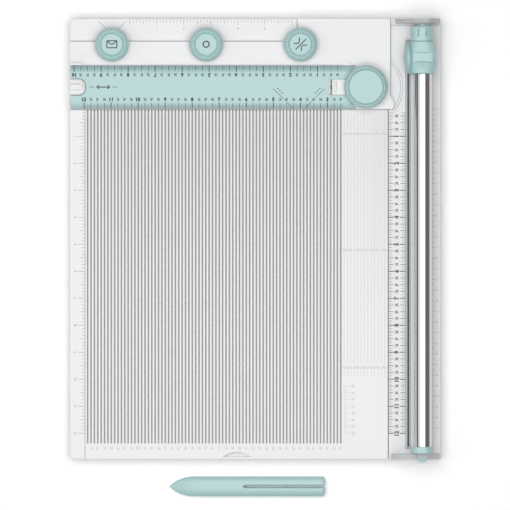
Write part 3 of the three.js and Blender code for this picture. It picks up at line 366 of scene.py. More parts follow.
def turned(profile, centre, axis="Z", sides=96):
    """Surface of revolution: each profile point (r, h) goes to centre + h along the axis + r (cos
    a, sin a) round it, for a from 0 to a full turn."""
    r, h = np.asarray(profile, float).T
    a = np.linspace(0, 2 * math.pi, sides, endpoint=False)
    u = r[:, None] * np.cos(a)
    v = r[:, None] * np.sin(a)
    w = np.repeat(h[:, None], sides, axis=1)
    order = {"X": (w, u, v), "Y": (v, w, u), "Z": (u, v, w)}[axis]
    return np.stack(order, axis=-1) + np.asarray(centre), grid_faces(len(r), sides)


def rounded(points, radius, steps=5):
    """Profile whose corners are replaced by arcs: at each inner corner p the two points a distance
    d along its sides, and the quadratic curve (1-t)^2 a + 2t(1-t) p + t^2 b between them."""
    points = [np.asarray(p, float) for p in points]
    made = [points[0]]
    t = np.linspace(0, 1, steps)[:, None]
    for before, p, after in zip(points, points[1:-1], points[2:]):
        reach = min(radius, np.linalg.norm(before - p) / 2, np.linalg.norm(after - p) / 2)
        a = p + (before - p) / np.linalg.norm(before - p) * reach
        b = p + (after - p) / np.linalg.norm(after - p) * reach
        made.extend((1 - t) ** 2 * a + 2 * t * (1 - t) * p + t ** 2 * b)
    made.append(points[-1])
    return np.array(made)


def softened(cad_node, radius, material=None, segments=2, end_round=0.0):
    """Merged copy of a CAD node with its flat faces joined, whose edges get a mould's small radius.
    With end_round, the outer rim of its rearmost broad face gets that larger one first."""
    mesh = frame["nodes"][cad_node].data.copy()
    mesh.name = f"{cad_node}_moulding"
    shape = bmesh.new()
    shape.from_mesh(mesh)
    bmesh.ops.remove_doubles(shape, verts=shape.verts, dist=2e-6)
    flat = math.radians(1.0)
    bmesh.ops.dissolve_limit(shape, angle_limit=flat, verts=shape.verts, edges=shape.edges)
    if end_round:
        rearward = [face for face in shape.faces if face.normal.y > 0.99]
        broad = max(rearward, key=lambda face: face.calc_area())
        clear_of_rail = 8 * MM  # nearer the rail's axis the rim stays sharp
        rim = shape.edges.layers.float.new("bevel_weight_edge")
        y = broad.calc_center_median().y
        for edge in shape.edges:
            outer = all(abs(vert.co.y - y) < 1e-5 for vert in edge.verts)
            reach = min(math.hypot(vert.co.x - RAIL[0], vert.co.z - RAIL[2]) for vert in edge.verts)
            edge[rim] = 1.0 if outer and reach > clear_of_rail else 0.0
    shape.to_mesh(mesh)
    shape.free()
    slot = SLOTS[cad_node]
    body = frame["nodes"][cad_node]["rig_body"]
    piece = show(mesh, mesh.name, material or slot, body)
    if end_round:
        end = piece.modifiers.new("End round", "BEVEL")
        end.width = end_round
        end.segments = 5
        end.limit_method = "WEIGHT"
    edge = piece.modifiers.new("Mould radius", "BEVEL")
    edge.width = radius
    edge.segments = segments
    edge.limit_method = "ANGLE"
    edge.angle_limit = math.radians(40)
    edge.miter_outer = "MITER_ARC"
    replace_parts(piece, cad_node)
    return piece


# ---------------------------------------------------------------- print
class Print:
    """Marks of one colour on one face, gathered into one thin mesh. height(x, y) is the face they
    lie on."""

    def __init__(self, height):
        """Takes the height of a level face, or its function of x and y."""
        self.height = height if callable(height) else (lambda x, y: np.full_like(x, height))
        self.points = []
        self.faces = []
        self.count = 0

    def add(self, points, faces):
        """Adds a closed shape, its faces numbered after the points that are already there."""
        self.points.append(points)
        self.faces.extend((np.asarray(face) + self.count).tolist() for face in faces)
        self.count += len(points)

    def strips(self, starts, ends, width):
        """Bars from starts to ends: each is a box whose four plan corners stand half the width off
        its line."""
        a = np.atleast_2d(np.asarray(starts, float))
        b = np.atleast_2d(np.asarray(ends, float))
        along = (b - a) / np.linalg.norm(b - a, axis=1, keepdims=True)
        off = np.stack([-along[:, 1], along[:, 0]], axis=1) * width / 2
        plan = np.stack([a - off, b - off, b + off, a + off], axis=1)
        box = np.zeros((len(a), 8, 3))
        box[:, :4, :2] = plan
        box[:, 4:, :2] = plan
        box[:, :4, 2] = -INK_LIFT / 2
        box[:, 4:, 2] = INK_LIFT
        sides = [[3, 2, 1, 0], [4, 5, 6, 7], [0, 1, 5, 4], [1, 2, 6, 5], [2, 3, 7, 6], [3, 0, 4, 7]]
        faces = np.arange(len(a))[:, None, None] * 8 + np.array(sides)
        self.add(box.reshape(-1, 3), faces.reshape(-1, 4))

    def ticks_x(self, x, y0, y1, width):
        """Ticks along Y at each x, from y0 to y1."""
        x = np.asarray(x, float)
        starts, ends = (np.stack([x, np.full_like(x, y)], 1) for y in (y0, y1))
        self.strips(starts, ends, width)

    def ticks_y(self, y, x0, x1, width):
        """Ticks along X at each y, from x0 to x1."""
        y = np.asarray(y, float)
        starts, ends = (np.stack([np.full_like(y, x), y], 1) for x in (x0, x1))
        self.strips(starts, ends, width)

    def path(self, points, width, closed=False):
        """Stroke of even width along a line of points: inner and outer edges stand half the width
        off it, and the four edges of its box section run the whole way."""
        p = np.asarray(points, float)
        ahead = np.roll(p, -1, axis=0) - p
        behind = p - np.roll(p, 1, axis=0)
        if not closed:
            ahead[-1] = behind[-1]
            behind[0] = ahead[0]
        tangent = ahead / np.linalg.norm(ahead, axis=1, keepdims=True)
        tangent = tangent + behind / np.linalg.norm(behind, axis=1, keepdims=True)
        tangent /= np.linalg.norm(tangent, axis=1, keepdims=True)
        off = np.stack([-tangent[:, 1], tangent[:, 0]], axis=1) * width / 2
        low_z = np.full((len(p), 1), -INK_LIFT / 2)
        high_z = np.full((len(p), 1), INK_LIFT)
        section = [np.hstack([p - off, low_z]), np.hstack([p + off, low_z]),
                   np.hstack([p + off, high_z]), np.hstack([p - off, high_z])]
        rows = np.stack(section, axis=1)
        faces = grid_faces(len(p), 4)
        end = (len(p) - 1) * 4
        if closed:
            j, k = np.arange(4), np.roll(np.arange(4), -1)
            faces = np.vstack([faces, np.stack([end + j, end + k, k, j], axis=1)])
        else:
            faces = np.vstack([faces, [[3, 2, 1, 0], [end, end + 1, end + 2, end + 3]]])
        self.add(rows.reshape(-1, 3), faces)

    def numeral(self, text, x, y, size, turn=0.0, bold=0.0):
        """Text of that numeral height, centred on x, y and turned by turn degrees."""
        points, faces = glyphs(text, bold)
        a = math.radians(turn)
        spin = np.array([[math.cos(a), math.sin(a)], [-math.sin(a), math.cos(a)]])
        placed = points.copy()
        placed[:, :2] = points[:, :2] * size @ spin + (x, y)
        placed[:, 2] = np.where(points[:, 2] > 0, INK_LIFT, -INK_LIFT / 2)
        self.add(placed, faces)

    def make(self, name, material, body, slot):
        """The marks as one piece of the body."""
        points = np.vstack(self.points)
        points[:, 2] += self.height(points[:, 0], points[:, 1])
        mesh = bpy.data.meshes.new(name)
        mesh.from_pydata(points.tolist(), [], self.faces)
        return show(mesh, name, material, body, smooth=10.0)


GLYPHS = {}


def glyphs(text, bold=0.0):
    """Text as a thin closed mesh, one unit high and centred on the origin: (points, faces)."""
    if (text, bold) not in GLYPHS:
        curve = bpy.data.curves.new("numeral", "FONT")
        curve.body = text
        curve.size = 1.4  # makes a numeral about one unit high
        curve.extrude = 0.01
        curve.offset = bold
        curve.resolution_u = 2
        curve.align_x = "CENTER"
        holder = bpy.data.objects.new("numeral", curve)
        bpy.context.scene.collection.objects.link(holder)
        evaluated = holder.evaluated_get(bpy.context.evaluated_depsgraph_get())
        mesh = evaluated.to_mesh()
        points = np.empty(len(mesh.vertices) * 3)
        mesh.vertices.foreach_get("co", points)
        points = points.reshape(-1, 3)
        faces = [list(face.vertices) for face in mesh.polygons]
        evaluated.to_mesh_clear()
        bpy.data.objects.remove(holder)
        bpy.data.curves.remove(curve)
        points[:, :2] -= (points[:, :2].min(axis=0) + points[:, :2].max(axis=0)) / 2
        GLYPHS[text, bold] = points, faces
    return GLYPHS[text, bold]


EIGHTHS = {1: "⅛", 2: "¼", 3: "⅜", 4: "½", 5: "⅝", 6: "¾", 7: "⅞"}


def quarter_label(quarters):
    """Label of a number of quarter inches: the whole inches, or the fraction alone."""
    whole, part = divmod(quarters, 4)
    return EIGHTHS[2 * part] if part else str(whole)


WHOLE_BOLD = 0.085  # how far a numeral's outline is swollen, of its height
PART_BOLD = 0.06


def inch_scale(marks, minor, zero, sign, first, last, place, turn, size):
    """Inch scale: sixteenths from first to last inch, with long ticks at inches, middling ones at
    quarters and short ones at sixteenths, and numerals at inches and quarters. place is a pair of
    functions: the first draws ticks at given places on the scale, the second gives the spot of the
    numeral there."""
    value = np.arange(math.ceil(first * 16), math.floor(last * 16) + 1)
    at = zero + sign * value * INCH / 16
    ticks, numeral_spot = place
    inch = value % 16 == 0
    quarter = (value % 4 == 0) & ~inch
    eighth = (value % 2 == 0) & ~inch & ~quarter
    rest = ~(inch | quarter | eighth)
    for target, chosen, share, weight in ((marks, inch, 1.0, 2.3), (marks, quarter, 0.85, 1.5),
                                          (minor, eighth, 0.66, 1.2), (minor, rest, 0.5, 1.0)):
        ticks(target, at[chosen], share, weight)
    for v, spot in zip(value[inch | quarter], at[inch | quarter]):
        whole, part = divmod(int(v), 16)
        if part == 0:
            marks.numeral(str(whole), *numeral_spot(spot), size, turn, WHOLE_BOLD)
        else:
            marks.numeral(EIGHTHS[part // 2], *numeral_spot(spot), size * 0.8, turn, PART_BOLD)


# ---------------------------------------------------------------- operators
class TrimmerStep:
    """What every step of the build shares."""

    bl_options = {"REGISTER", "UNDO"}


class TRIMMER_OT_finishes(TrimmerStep, bpy.types.Operator):
    """Makes the finishes and gives every CAD node the one for its material slot"""

    bl_idname = "trimmer.finishes"
    bl_label = "Finishes"

    def execute(self, context):
        colours = context.scene.trimmer_colours
        make_finishes(colours)
        for name, cad in frame["nodes"].items():
            cad.data.materials.clear()
            cad.data.materials.append(FINISHES[SLOTS[name]])
        return {"FINISHED"}


class TRIMMER_OT_mouldings(TrimmerStep, bpy.types.Operator):
    """Rounds the edges of the plain mouldings of the board, the arm, the lock and the rail"""

    bl_idname = "trimmer.mouldings"
    bl_label = "Mouldings"

    def execute(self, context):
        sizes = context.scene.trimmer_sizes
        plain = ["base_shell", "bottom_cover", "margin_strip", "punch_ledge", "rear_deck",
                 "hinge_block", "trim_strip", "arm_carrier", "arm_lock", "front_rail_cap",
                 "blade_cover"]
        for name in plain:
            softened(name, sizes.edge)
        softened("score_panel", sizes.edge / 3, material="panel_abs")
        softened("arm_ruler", sizes.edge, material="ruler_abs")
        softened("rear_rail_cap", sizes.edge, end_round=2 * MM)
        for name in ("front_end_plate", "rear_end_plate"):
            softened(name, sizes.edge, material="clear_arch")
        return {"FINISHED"}


CAP_WALL = 2.2 * MM  # of the pressed caps, round the side and over the top
DISC_SINK = 0.22 * MM  # the middle disc's edge and its sign lie this far below the cap's top


def cap_surface(node_name, rim, disc_r, groove, dish):
    """Pressed cap as a surface of revolution: under the skirt, up the wall, round the rim, across a
    ring, down and up through a groove of that (width, depth) round the middle disc, and across the
    disc, which sinks by dish at its centre."""
    lowest, highest = low(node_name), high(node_name)
    centre = middle(node_name)
    r = (highest[0] - lowest[0]) / 2
    top = highest[2]
    skirt = rim_foot(node_name)
    inner = r - CAP_WALL
    ceiling = top - CAP_WALL
    wide, deep = groove
    outside = [(inner, skirt), (r, skirt), (r, top - 1.3 * rim), (r - 0.25 * rim, top - 0.75 * rim),
               (r - rim, top), (disc_r + wide, top), (disc_r + 0.75 * wide, top - deep),
               (disc_r + 0.25 * wide, top - deep), (disc_r, top - DISC_SINK),
               (disc_r - 1.5 * MM, top - 0.2 * MM), (0, top - 0.2 * MM - dish)]
    inside = [(0, ceiling), (inner, ceiling), (inner, skirt)]
    profile = np.vstack([rounded(outside, 0.6 * MM), inside])
    return turned(profile, (centre[0], centre[1], 0.0), "Z", 128)


def rim_foot(node_name):
    """Height of a cap's skirt, which is the lowest ring of its node's outer wall."""
    mesh = frame["nodes"][node_name].data
    points = np.empty(len(mesh.vertices) * 3, np.float32)
    mesh.vertices.foreach_get("co", points)
    points = points.reshape(-1, 3)
    centre = middle(node_name)[:2]
    off = np.hypot(*(points[:, :2] - centre).T)
    return float(points[off > off.max() - 0.5 * MM, 2].min())


class TRIMMER_OT_punch_buttons(TrimmerStep, bpy.types.Operator):
    """Three punch buttons with a rounded rim, a groove round the pressed disc, and the sign of what
    each one cuts"""

    bl_idname = "trimmer.punch_buttons"
    bl_label = "Punch buttons"

    def execute(self, context):
        sizes = context.scene.trimmer_sizes
        signs = {"notch": self.envelope, "hole": self.ring, "corner": self.corner}
        for name, sign in signs.items():
            node_name = f"{name}_button"
            points, faces = cap_surface(node_name, rim=3.4 * MM, disc_r=10.1 * MM,
                                        groove=(1.5 * MM, 1.9 * MM), dish=0.1 * MM)
            mesh = closed_mesh(f"{name}_cap", points, faces)
            piece = show(mesh, mesh.name, "teal_abs", f"{name}_press")
            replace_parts(piece, node_name)
            stem_top = high(f"{name}_punch")[2]
            self.stem(name, stem_top)
            marks = Print(high(node_name)[2] - DISC_SINK)
            sign(marks, middle(node_name)[:2], sizes.icon_stroke)
            marks.make(f"{name}_sign", "dark_ink", f"{name}_press", "teal_abs")
        return {"FINISHED"}

    def stem(self, name, z):
        """Stem that carries the punch: a turned rod from the punch up into the cap."""
        centre = middle(f"{name}_button")
        top = high(f"{name}_button")[2] - 2 * MM
        profile = [(0, z), (6.6 * MM, z), (7 * MM, z + 0.4 * MM), (7 * MM, top), (0, top)]
        mesh = closed_mesh(f"{name}_stem", *turned(profile, (centre[0], centre[1], 0.0), "Z", 48))
        show(mesh, mesh.name, "teal_abs", f"{name}_press")

    def envelope(self, marks, at, stroke):
        """An envelope: a rounded rectangle and the V of its flap."""
        w, h, r = 4.7 * MM, 3.3 * MM, 0.9 * MM
        turn = np.linspace(0, math.pi / 2, 5)
        arc = np.stack([np.cos(turn), np.sin(turn)], axis=1) * r
        quarter = np.array([[0, -1], [1, 0]])
        frame_line = []
        for sx, sy in ((1, 1), (-1, 1), (-1, -1), (1, -1)):
            frame_line.append(arc + (sx * (w - r), sy * (h - r)))
            arc = arc @ quarter.T
        marks.path(np.vstack(frame_line) + at, stroke, closed=True)
        across = np.linspace(-1, 1, 13)
        drop = 3.1 * MM * (1 - np.abs(across) ** 1.4)
        flap = np.stack([across * (w - stroke / 3), h - stroke / 4 - drop], axis=1)
        marks.path(flap + at, stroke)

    def ring(self, marks, at, stroke):
        """A round hole: one ring."""
        a = np.linspace(0, 2 * math.pi, 32, endpoint=False)
        line = np.stack([np.cos(a), np.sin(a)], axis=1) * 2.8 * MM
        marks.path(line + at, 1.25 * stroke, closed=True)

    def corner(self, marks, at, stroke):
        """A rounded corner: a slanting line between two bent ones."""
        marks.path(np.array([(-4.6, -5.0), (5.3, 4.9)]) * MM + at, stroke)
        bend = rounded([(-6.3, 0.7), (-0.9, 0.9), (-0.8, 6.5)], 3.2, steps=9) * MM
        marks.path(bend + at, stroke)
        marks.path(-bend + at, stroke)


class TRIMMER_OT_pivot_button(TrimmerStep, bpy.types.Operator):
    """Large release button over the arm's pivot"""

    bl_idname = "trimmer.pivot_button"
    bl_label = "Pivot button"

    def execute(self, context):
        sizes = context.scene.trimmer_sizes
        points, faces = cap_surface("release_button", rim=sizes.knob_chamfer, disc_r=15.9 * MM,
                                    groove=(0.9 * MM, 1.9 * MM), dish=0.1 * MM)
        mesh = closed_mesh("pivot_cap", points, faces)
        piece = show(mesh, mesh.name, "teal_abs", "release")
        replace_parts(piece, "release_button")
        return {"FINISHED"}


class TRIMMER_OT_arm_print(TrimmerStep, bpy.types.Operator):
    """Two inch scales on the arm's sloping edges, its guide lines, and the marks at its ends"""

    bl_idname = "trimmer.arm_print"
    bl_label = "Arm print"

    def execute(self, context):
        sizes = context.scene.trimmer_sizes
        mid_y = PIVOT[1]
        edge_y = high("arm_ruler")[1] - mid_y
        bevel = 6 * MM
        fall = 1.8 / 7.0  # slope of the bevelled edges

        def face(x, y):
            return RULER_Z - fall * np.clip(np.abs(y - mid_y) - (edge_y - bevel), 0, None)

        marks, minor = Print(face), Print(face)
        width = sizes.tick_width
        end_x = low("arm_ruler")[0]
        rear_zero = PIVOT[0] - 20.1 * MM
        start = bevel - 0.15 * MM

        def rear_ticks(target, x, share, weight):
            reach = start - 0.7 * MM
            inner = mid_y + edge_y - start + (1 - share) * reach
            target.ticks_x(x, inner, mid_y + edge_y - 0.4 * MM, weight * width)

        def front_ticks(target, x, share, weight):
            reach = start - 0.7 * MM
            inner = mid_y - edge_y + start - (1 - share) * reach
            target.ticks_x(x, mid_y - edge_y + 0.4 * MM, inner, weight * width)

        last_rear = (rear_zero - end_x) / INCH - 0.02
        last_front = 12.0
        rear_place = (rear_ticks, lambda x: (x, mid_y + edge_y - 8.9 * MM))
        front_place = (front_ticks, lambda x: (x, mid_y - edge_y + 8.8 * MM))
        inch_scale(marks, minor, rear_zero, -1, 0.12, last_rear, rear_place, 180, sizes.numeral)
        inch_scale(marks, minor, CUT_X, -1, 2.4, last_front, front_place, 0, sizes.numeral)
        self.guide_lines(marks, mid_y, width)
        self.end_marks(marks, mid_y, end_x)
        marks.make("arm_scale", "dark_ink", "arm", "teal_abs")
        minor.make("arm_scale_minor", "grey_ink", "arm", "teal_abs")
        # Painted shade beside the lock: a grey strip where the slot beside the slider lies in
        # shade, and a dark bar where its hole lies in shade.
        slot_x = low("arm_lock")[0] - 0.3 * MM - 0.85 * MM
        slot, hole_shade = Print(high("arm_carrier")[2]), Print(high("arm_carrier")[2] + INK_LIFT)
        for mark, half, wide in ((slot, 7.2 * MM, 1.5 * MM), (hole_shade, 1.8 * MM, 1.4 * MM)):
            mark.strips([(slot_x, mid_y - half)], [(slot_x, mid_y + half)], wide)
        slot.make("lock_slot_painted_shade", "grey_ink", "arm", "white_abs")
        hole_shade.make("lock_hole_painted_shade", "dark_ink", "arm", "white_abs")
        arrow = Print(high("arm_lock")[2] - 1.17 * MM)
        tip = middle("arm_lock")[0] + 4.2 * MM
        back = tip - 2.2 * MM
        arrow.path([(back, mid_y + 1.3 * MM), (tip, mid_y), (back, mid_y - 1.3 * MM)], 0.5 * MM)
        arrow.make("lock_arrow", "grey_ink", "lock", "white_abs")
        return {"FINISHED"}

    def guide_lines(self, marks, mid_y, width):
        """Two slanting guide lines that lean towards each other's foot, with three dots beside each
        one's top. Each line is in two lengths, which meet where the edge begins to slope."""
        tops, knees, feet = (np.array(y) * MM + mid_y for y in (-1.5, -14.4, -19.6))
        for side, x in ((1, 17 * MM), (-1, 65 * MM)):
            line = [(x + side * (tops - y), y) for y in (tops, knees, feet)]
            marks.strips(line[:2], line[1:], 1.3 * width)
            for k in range(3):
                spot = np.array([x + side * (4.2 + 2 * k) * MM, tops + (0.2 - 2 * k) * MM])
                marks.strips([spot - (0.55 * MM, 0)], [spot + (0.55 * MM, 0)], 1.1 * MM)

    def end_marks(self, marks, mid_y, end_x):
        """A double arrow between two dashes, which says that the scales measure length, and the
        outline of the catch's notch."""
        for x0, x1, stroke in ((17.7, 22.2, 0.5), (39.3, 44.1, 0.5), (25.6, 36.2, 1.0)):
            marks.strips([(end_x + x0 * MM, mid_y)], [(end_x + x1 * MM, mid_y)], stroke * MM)
        for tip, back in ((24.6, 27.0), (37.2, 34.8)):
            head = [(back * MM, 1.7 * MM), (tip * MM, 0), (back * MM, -1.7 * MM)]
            marks.path(np.array(head) + (end_x, mid_y), 1.0 * MM)
        reach, wide, r = 14.3 * MM, 7.9 * MM, 6.2 * MM
        a = np.linspace(0, math.pi / 2, 7)
        bend = np.stack([np.sin(a), 1 - np.cos(a)], axis=1) * r
        lower = bend + (reach - r, -wide)
        upper = bend[::-1] * (1, -1) + (reach - r, wide)
        line = np.vstack([[(0.3 * MM, -wide)], lower, upper, [(0.3 * MM, wide)]])
        marks.path(line + (end_x, mid_y), 0.45 * MM)


class TRIMMER_OT_panel_print(TrimmerStep, bpy.types.Operator):
    """Faint guide lines, numerals and rulers on the score panel and the margin strip"""

    bl_idname = "trimmer.panel_print"
    bl_label = "Panel print"

    def execute(self, context):
        sizes = context.scene.trimmer_sizes
        fence = FENCE_Y
        width = sizes.tick_width
        faint, grey = Print(PANEL_Z), Print(PANEL_Z)
        rows = [fence - 22.9 * MM, fence - 132.4 * MM, fence - 242.9 * MM]
        front_end = fence - 239.5 * MM
        columns = CUT_X - INCH * np.arange(7, 20) / 8
        gap = 2.6 * MM
        shown = columns[columns < low("trim_strip")[0] - 1 * MM]
        spans = ((fence - 1.5 * MM, rows[0] + gap), (rows[0] - gap, rows[1] + gap),
                 (rows[1] - gap, front_end))
        for y0, y1 in spans:
            faint.ticks_x(shown, y0, y1, width)
        self.margin_scale(grey, fence, width, sizes.numeral)
        self.low_ruler(faint, fence, width, sizes.numeral)
        self.label_rows(faint, rows, columns, width, sizes.numeral)
        self.front_row(faint, sizes.numeral)
        faint.make("panel_lines", "pale_ink", "board", "white_abs")
        grey.make("panel_scales", "grey_ink", "board", "white_abs")
        return {"FINISHED"}

    def margin_scale(self, marks, fence, width, size):
        """Inch scale down the margin strip, its numerals read from the right."""
        x1 = high("margin_strip")[0] - 0.4 * MM
        value = np.arange(1, 12 * 8 + 1)
        y = fence - value * INCH / 8
        inch = value % 8 == 0
        half = (value % 4 == 0) & ~inch
        marks.ticks_y(y[inch], x1 - 6.2 * MM, x1, width)
        marks.ticks_y(y[half], x1 - 4 * MM, x1, width)
        marks.ticks_y(y[~(inch | half)], x1 - 2.4 * MM, x1, width)
        for n, spot in zip(value[inch] // 8, y[inch]):
            marks.numeral(str(n), x1 - 8.6 * MM, spot, 0.72 * size, 90)

    def low_ruler(self, marks, fence, width, size):
        """Short ruler left of the cutter strip, from ten and a quarter to twelve inches."""
        x0 = 83.3 * MM
        value = np.arange(41 * 4, 48 * 4 + 1)
        y = fence - value * INCH / 16
        marks.ticks_y(y[value % 4 == 0], x0, x0 + 6 * MM, 1.2 * width)
        marks.ticks_y(y[value % 4 != 0], x0, x0 + 3.4 * MM, width)
        for v in range(41, 49):
            spot = (x0 + 8.8 * MM, fence - v * INCH / 4)
            marks.numeral(quarter_label(v), *spot, 0.9 * size, 90, PART_BOLD)

    def label_rows(self, marks, rows, columns, width, size):
        """Rows of small labels that break the guide lines, and the short ticks in front of the last
        row."""
        shown = columns < low("trim_strip")[0] - 1 * MM
        for y in rows:
            for k, x in zip(np.arange(7, 20)[shown], columns[shown]):
                label = str(k // 8) if k % 8 == 0 else EIGHTHS[k % 8]
                marks.numeral(label, x, y, 0.75 * size, 0, PART_BOLD)
        marks.ticks_x(columns[shown], rows[-1] - 9 * MM, rows[-1] - 2.6 * MM, width)

    def front_row(self, marks, size):
        """Row of small labels in front of the grooves, one for every quarter inch from the cut
        line."""
        y = BOARD_LOW[1] + 10 * MM
        for v in range(10, 48):
            marks.numeral(quarter_label(v), CUT_X - v * INCH / 4, y, 0.85 * size, 0, PART_BOLD)


class TRIMMER_OT_ledge_print(TrimmerStep, bpy.types.Operator):
    """Short ruler and two slanting guide lines on the punch ledge"""

    bl_idname = "trimmer.ledge_print"
    bl_label = "Ledge print"

    def execute(self, context):
        sizes = context.scene.trimmer_sizes
        marks = Print(PANEL_Z)
        y1 = BOARD_HIGH[1] - 1 * MM
        zero = -118 * MM
        count = 48
        value = np.arange(count + 1)
        x = zero + value * INCH / 8
        for step, length in ((8, 4.6), (4, 3.4), (1, 2.2)):
            taken = ((value % 8 == 0) & (step != 8)) | ((value % 4 == 0) & (step == 1))
            chosen = (value % step == 0) & ~taken
            marks.ticks_x(x[chosen], y1 - length * MM, y1, sizes.tick_width)
        for n in range(1, 6):
            marks.numeral(str(n), zero + n * INCH, y1 - 8 * MM, 0.7 * sizes.numeral)
        for x0, x1 in ((-147.9, -139.4), (-121.5, -129.0)):
            start = (x0 * MM, BOARD_HIGH[1] - 2.1 * MM)
            marks.strips([start], [(x1 * MM, BOARD_HIGH[1] - 9.6 * MM)], 0.4 * MM)
        marks.make("ledge_print", "grey_ink", "board", "white_abs")
        return {"FINISHED"}


class TRIMMER_OT_strip_print(TrimmerStep, bpy.types.Operator):
    """Inch scale beside the cut line, centimetre scale beside the rail, and the arcs round the
    pivot"""

    bl_idname = "trimmer.strip_print"
    bl_label = "Cutter strip print"

    def execute(self, context):
        sizes = context.scene.trimmer_sizes
        fence = FENCE_Y
        width = sizes.tick_width
        dark, grey = Print(PANEL_Z), Print(PANEL_Z)
        x_left, x_right = low("trim_strip")[0] + 0.6 * MM, CUT_X - 2.6 * MM
        reach = 5 * MM

        def both_sides(target, y, share, weight):
            target.ticks_y(y, x_left, x_left + share * reach, weight * width)
            target.ticks_y(y, x_right - share * 5.4 * MM, x_right, weight * width)

        place = (both_sides, lambda y: (CUT_X - 11 * MM, y))
        inch_scale(dark, grey, fence, -1, 0.12, 12.0, place, 90, 1.15 * sizes.numeral)
        edge_x = low("trim_strip")[0] + 0.25 * MM
        dark.strips([(edge_x, BOARD_LOW[1] + 1 * MM)], [(edge_x, fence - 1 * MM)], 0.5 * MM)
        # Painted shade: a dark strip on the cutting mat along the cut line, in place of the shade
        # down the blade's groove.
        cut_shade = Print(high("cutting_mat")[2])
        y0, y1 = low("cutting_mat")[1] + 2 * MM, high("cutting_mat")[1] - 2 * MM
        cut_shade.strips([(CUT_X, y0)], [(CUT_X, y1)], 1.7 * MM)
        cut_shade.make("blade_groove_painted_shade", "dark_ink", "board", "cutting_mat")
        self.centimetres(grey, fence, width, sizes.numeral)
        self.arcs(grey, width)
        dark.make("cut_scale", "dark_ink", "board", "grey_abs")
        grey.make("cut_scale_minor", "grey_ink", "board", "grey_abs")
        return {"FINISHED"}

    def centimetres(self, marks, fence, width, size):
        """Centimetre scale between the rail and the right edge."""
        value = np.arange(0, 61)
        y = fence - value * 5 * MM
        x0 = 166.4 * MM
        whole = value % 2 == 0
        marks.ticks_y(y[whole], x0, x0 + 2.2 * MM, width)
        marks.ticks_y(y[~whole], x0, x0 + 1.2 * MM, width)
        for n, spot in zip(value[whole] // 2, y[whole]):
            marks.numeral(str(n), x0 + 4.4 * MM, spot, 0.5 * size, 90)

    def arcs(self, marks, width):
        """Two arcs about the arm's pivot, where they cross the strip."""
        start_x = low("trim_strip")[0] + 3 * MM
        for r in (32.9 * MM, 35.0 * MM):
            half = math.acos((start_x - PIVOT[0]) / r)
            a = np.linspace(-half, half, 40)
            marks.path(np.stack([np.cos(a), np.sin(a)], axis=1) * r + PIVOT[:2], width)


class TRIMMER_OT_rail(TrimmerStep, bpy.types.Operator):
    """Polished rail tube with rounded ends"""

    bl_idname = "trimmer.rail"
    bl_label = "Rail"

    def execute(self, context):
        lowest, highest = low("rail_tube"), high("rail_tube")
        r = (highest[0] - lowest[0]) / 2
        wall = 1.2 * MM
        y0, y1 = lowest[1], highest[1]
        outside = rounded([(r - wall, y0), (r, y0), (r, y1), (r - wall, y1)], 0.4 * MM)
        profile = np.vstack([outside, [(r - wall, y0)]])
        mesh = closed_mesh("polished_rail", *turned(profile, (RAIL[0], 0.0, RAIL[2]), "Y", 128))
        piece = show(mesh, mesh.name, "polished_steel", "rail")
        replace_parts(piece, "rail_tube")
        return {"FINISHED"}


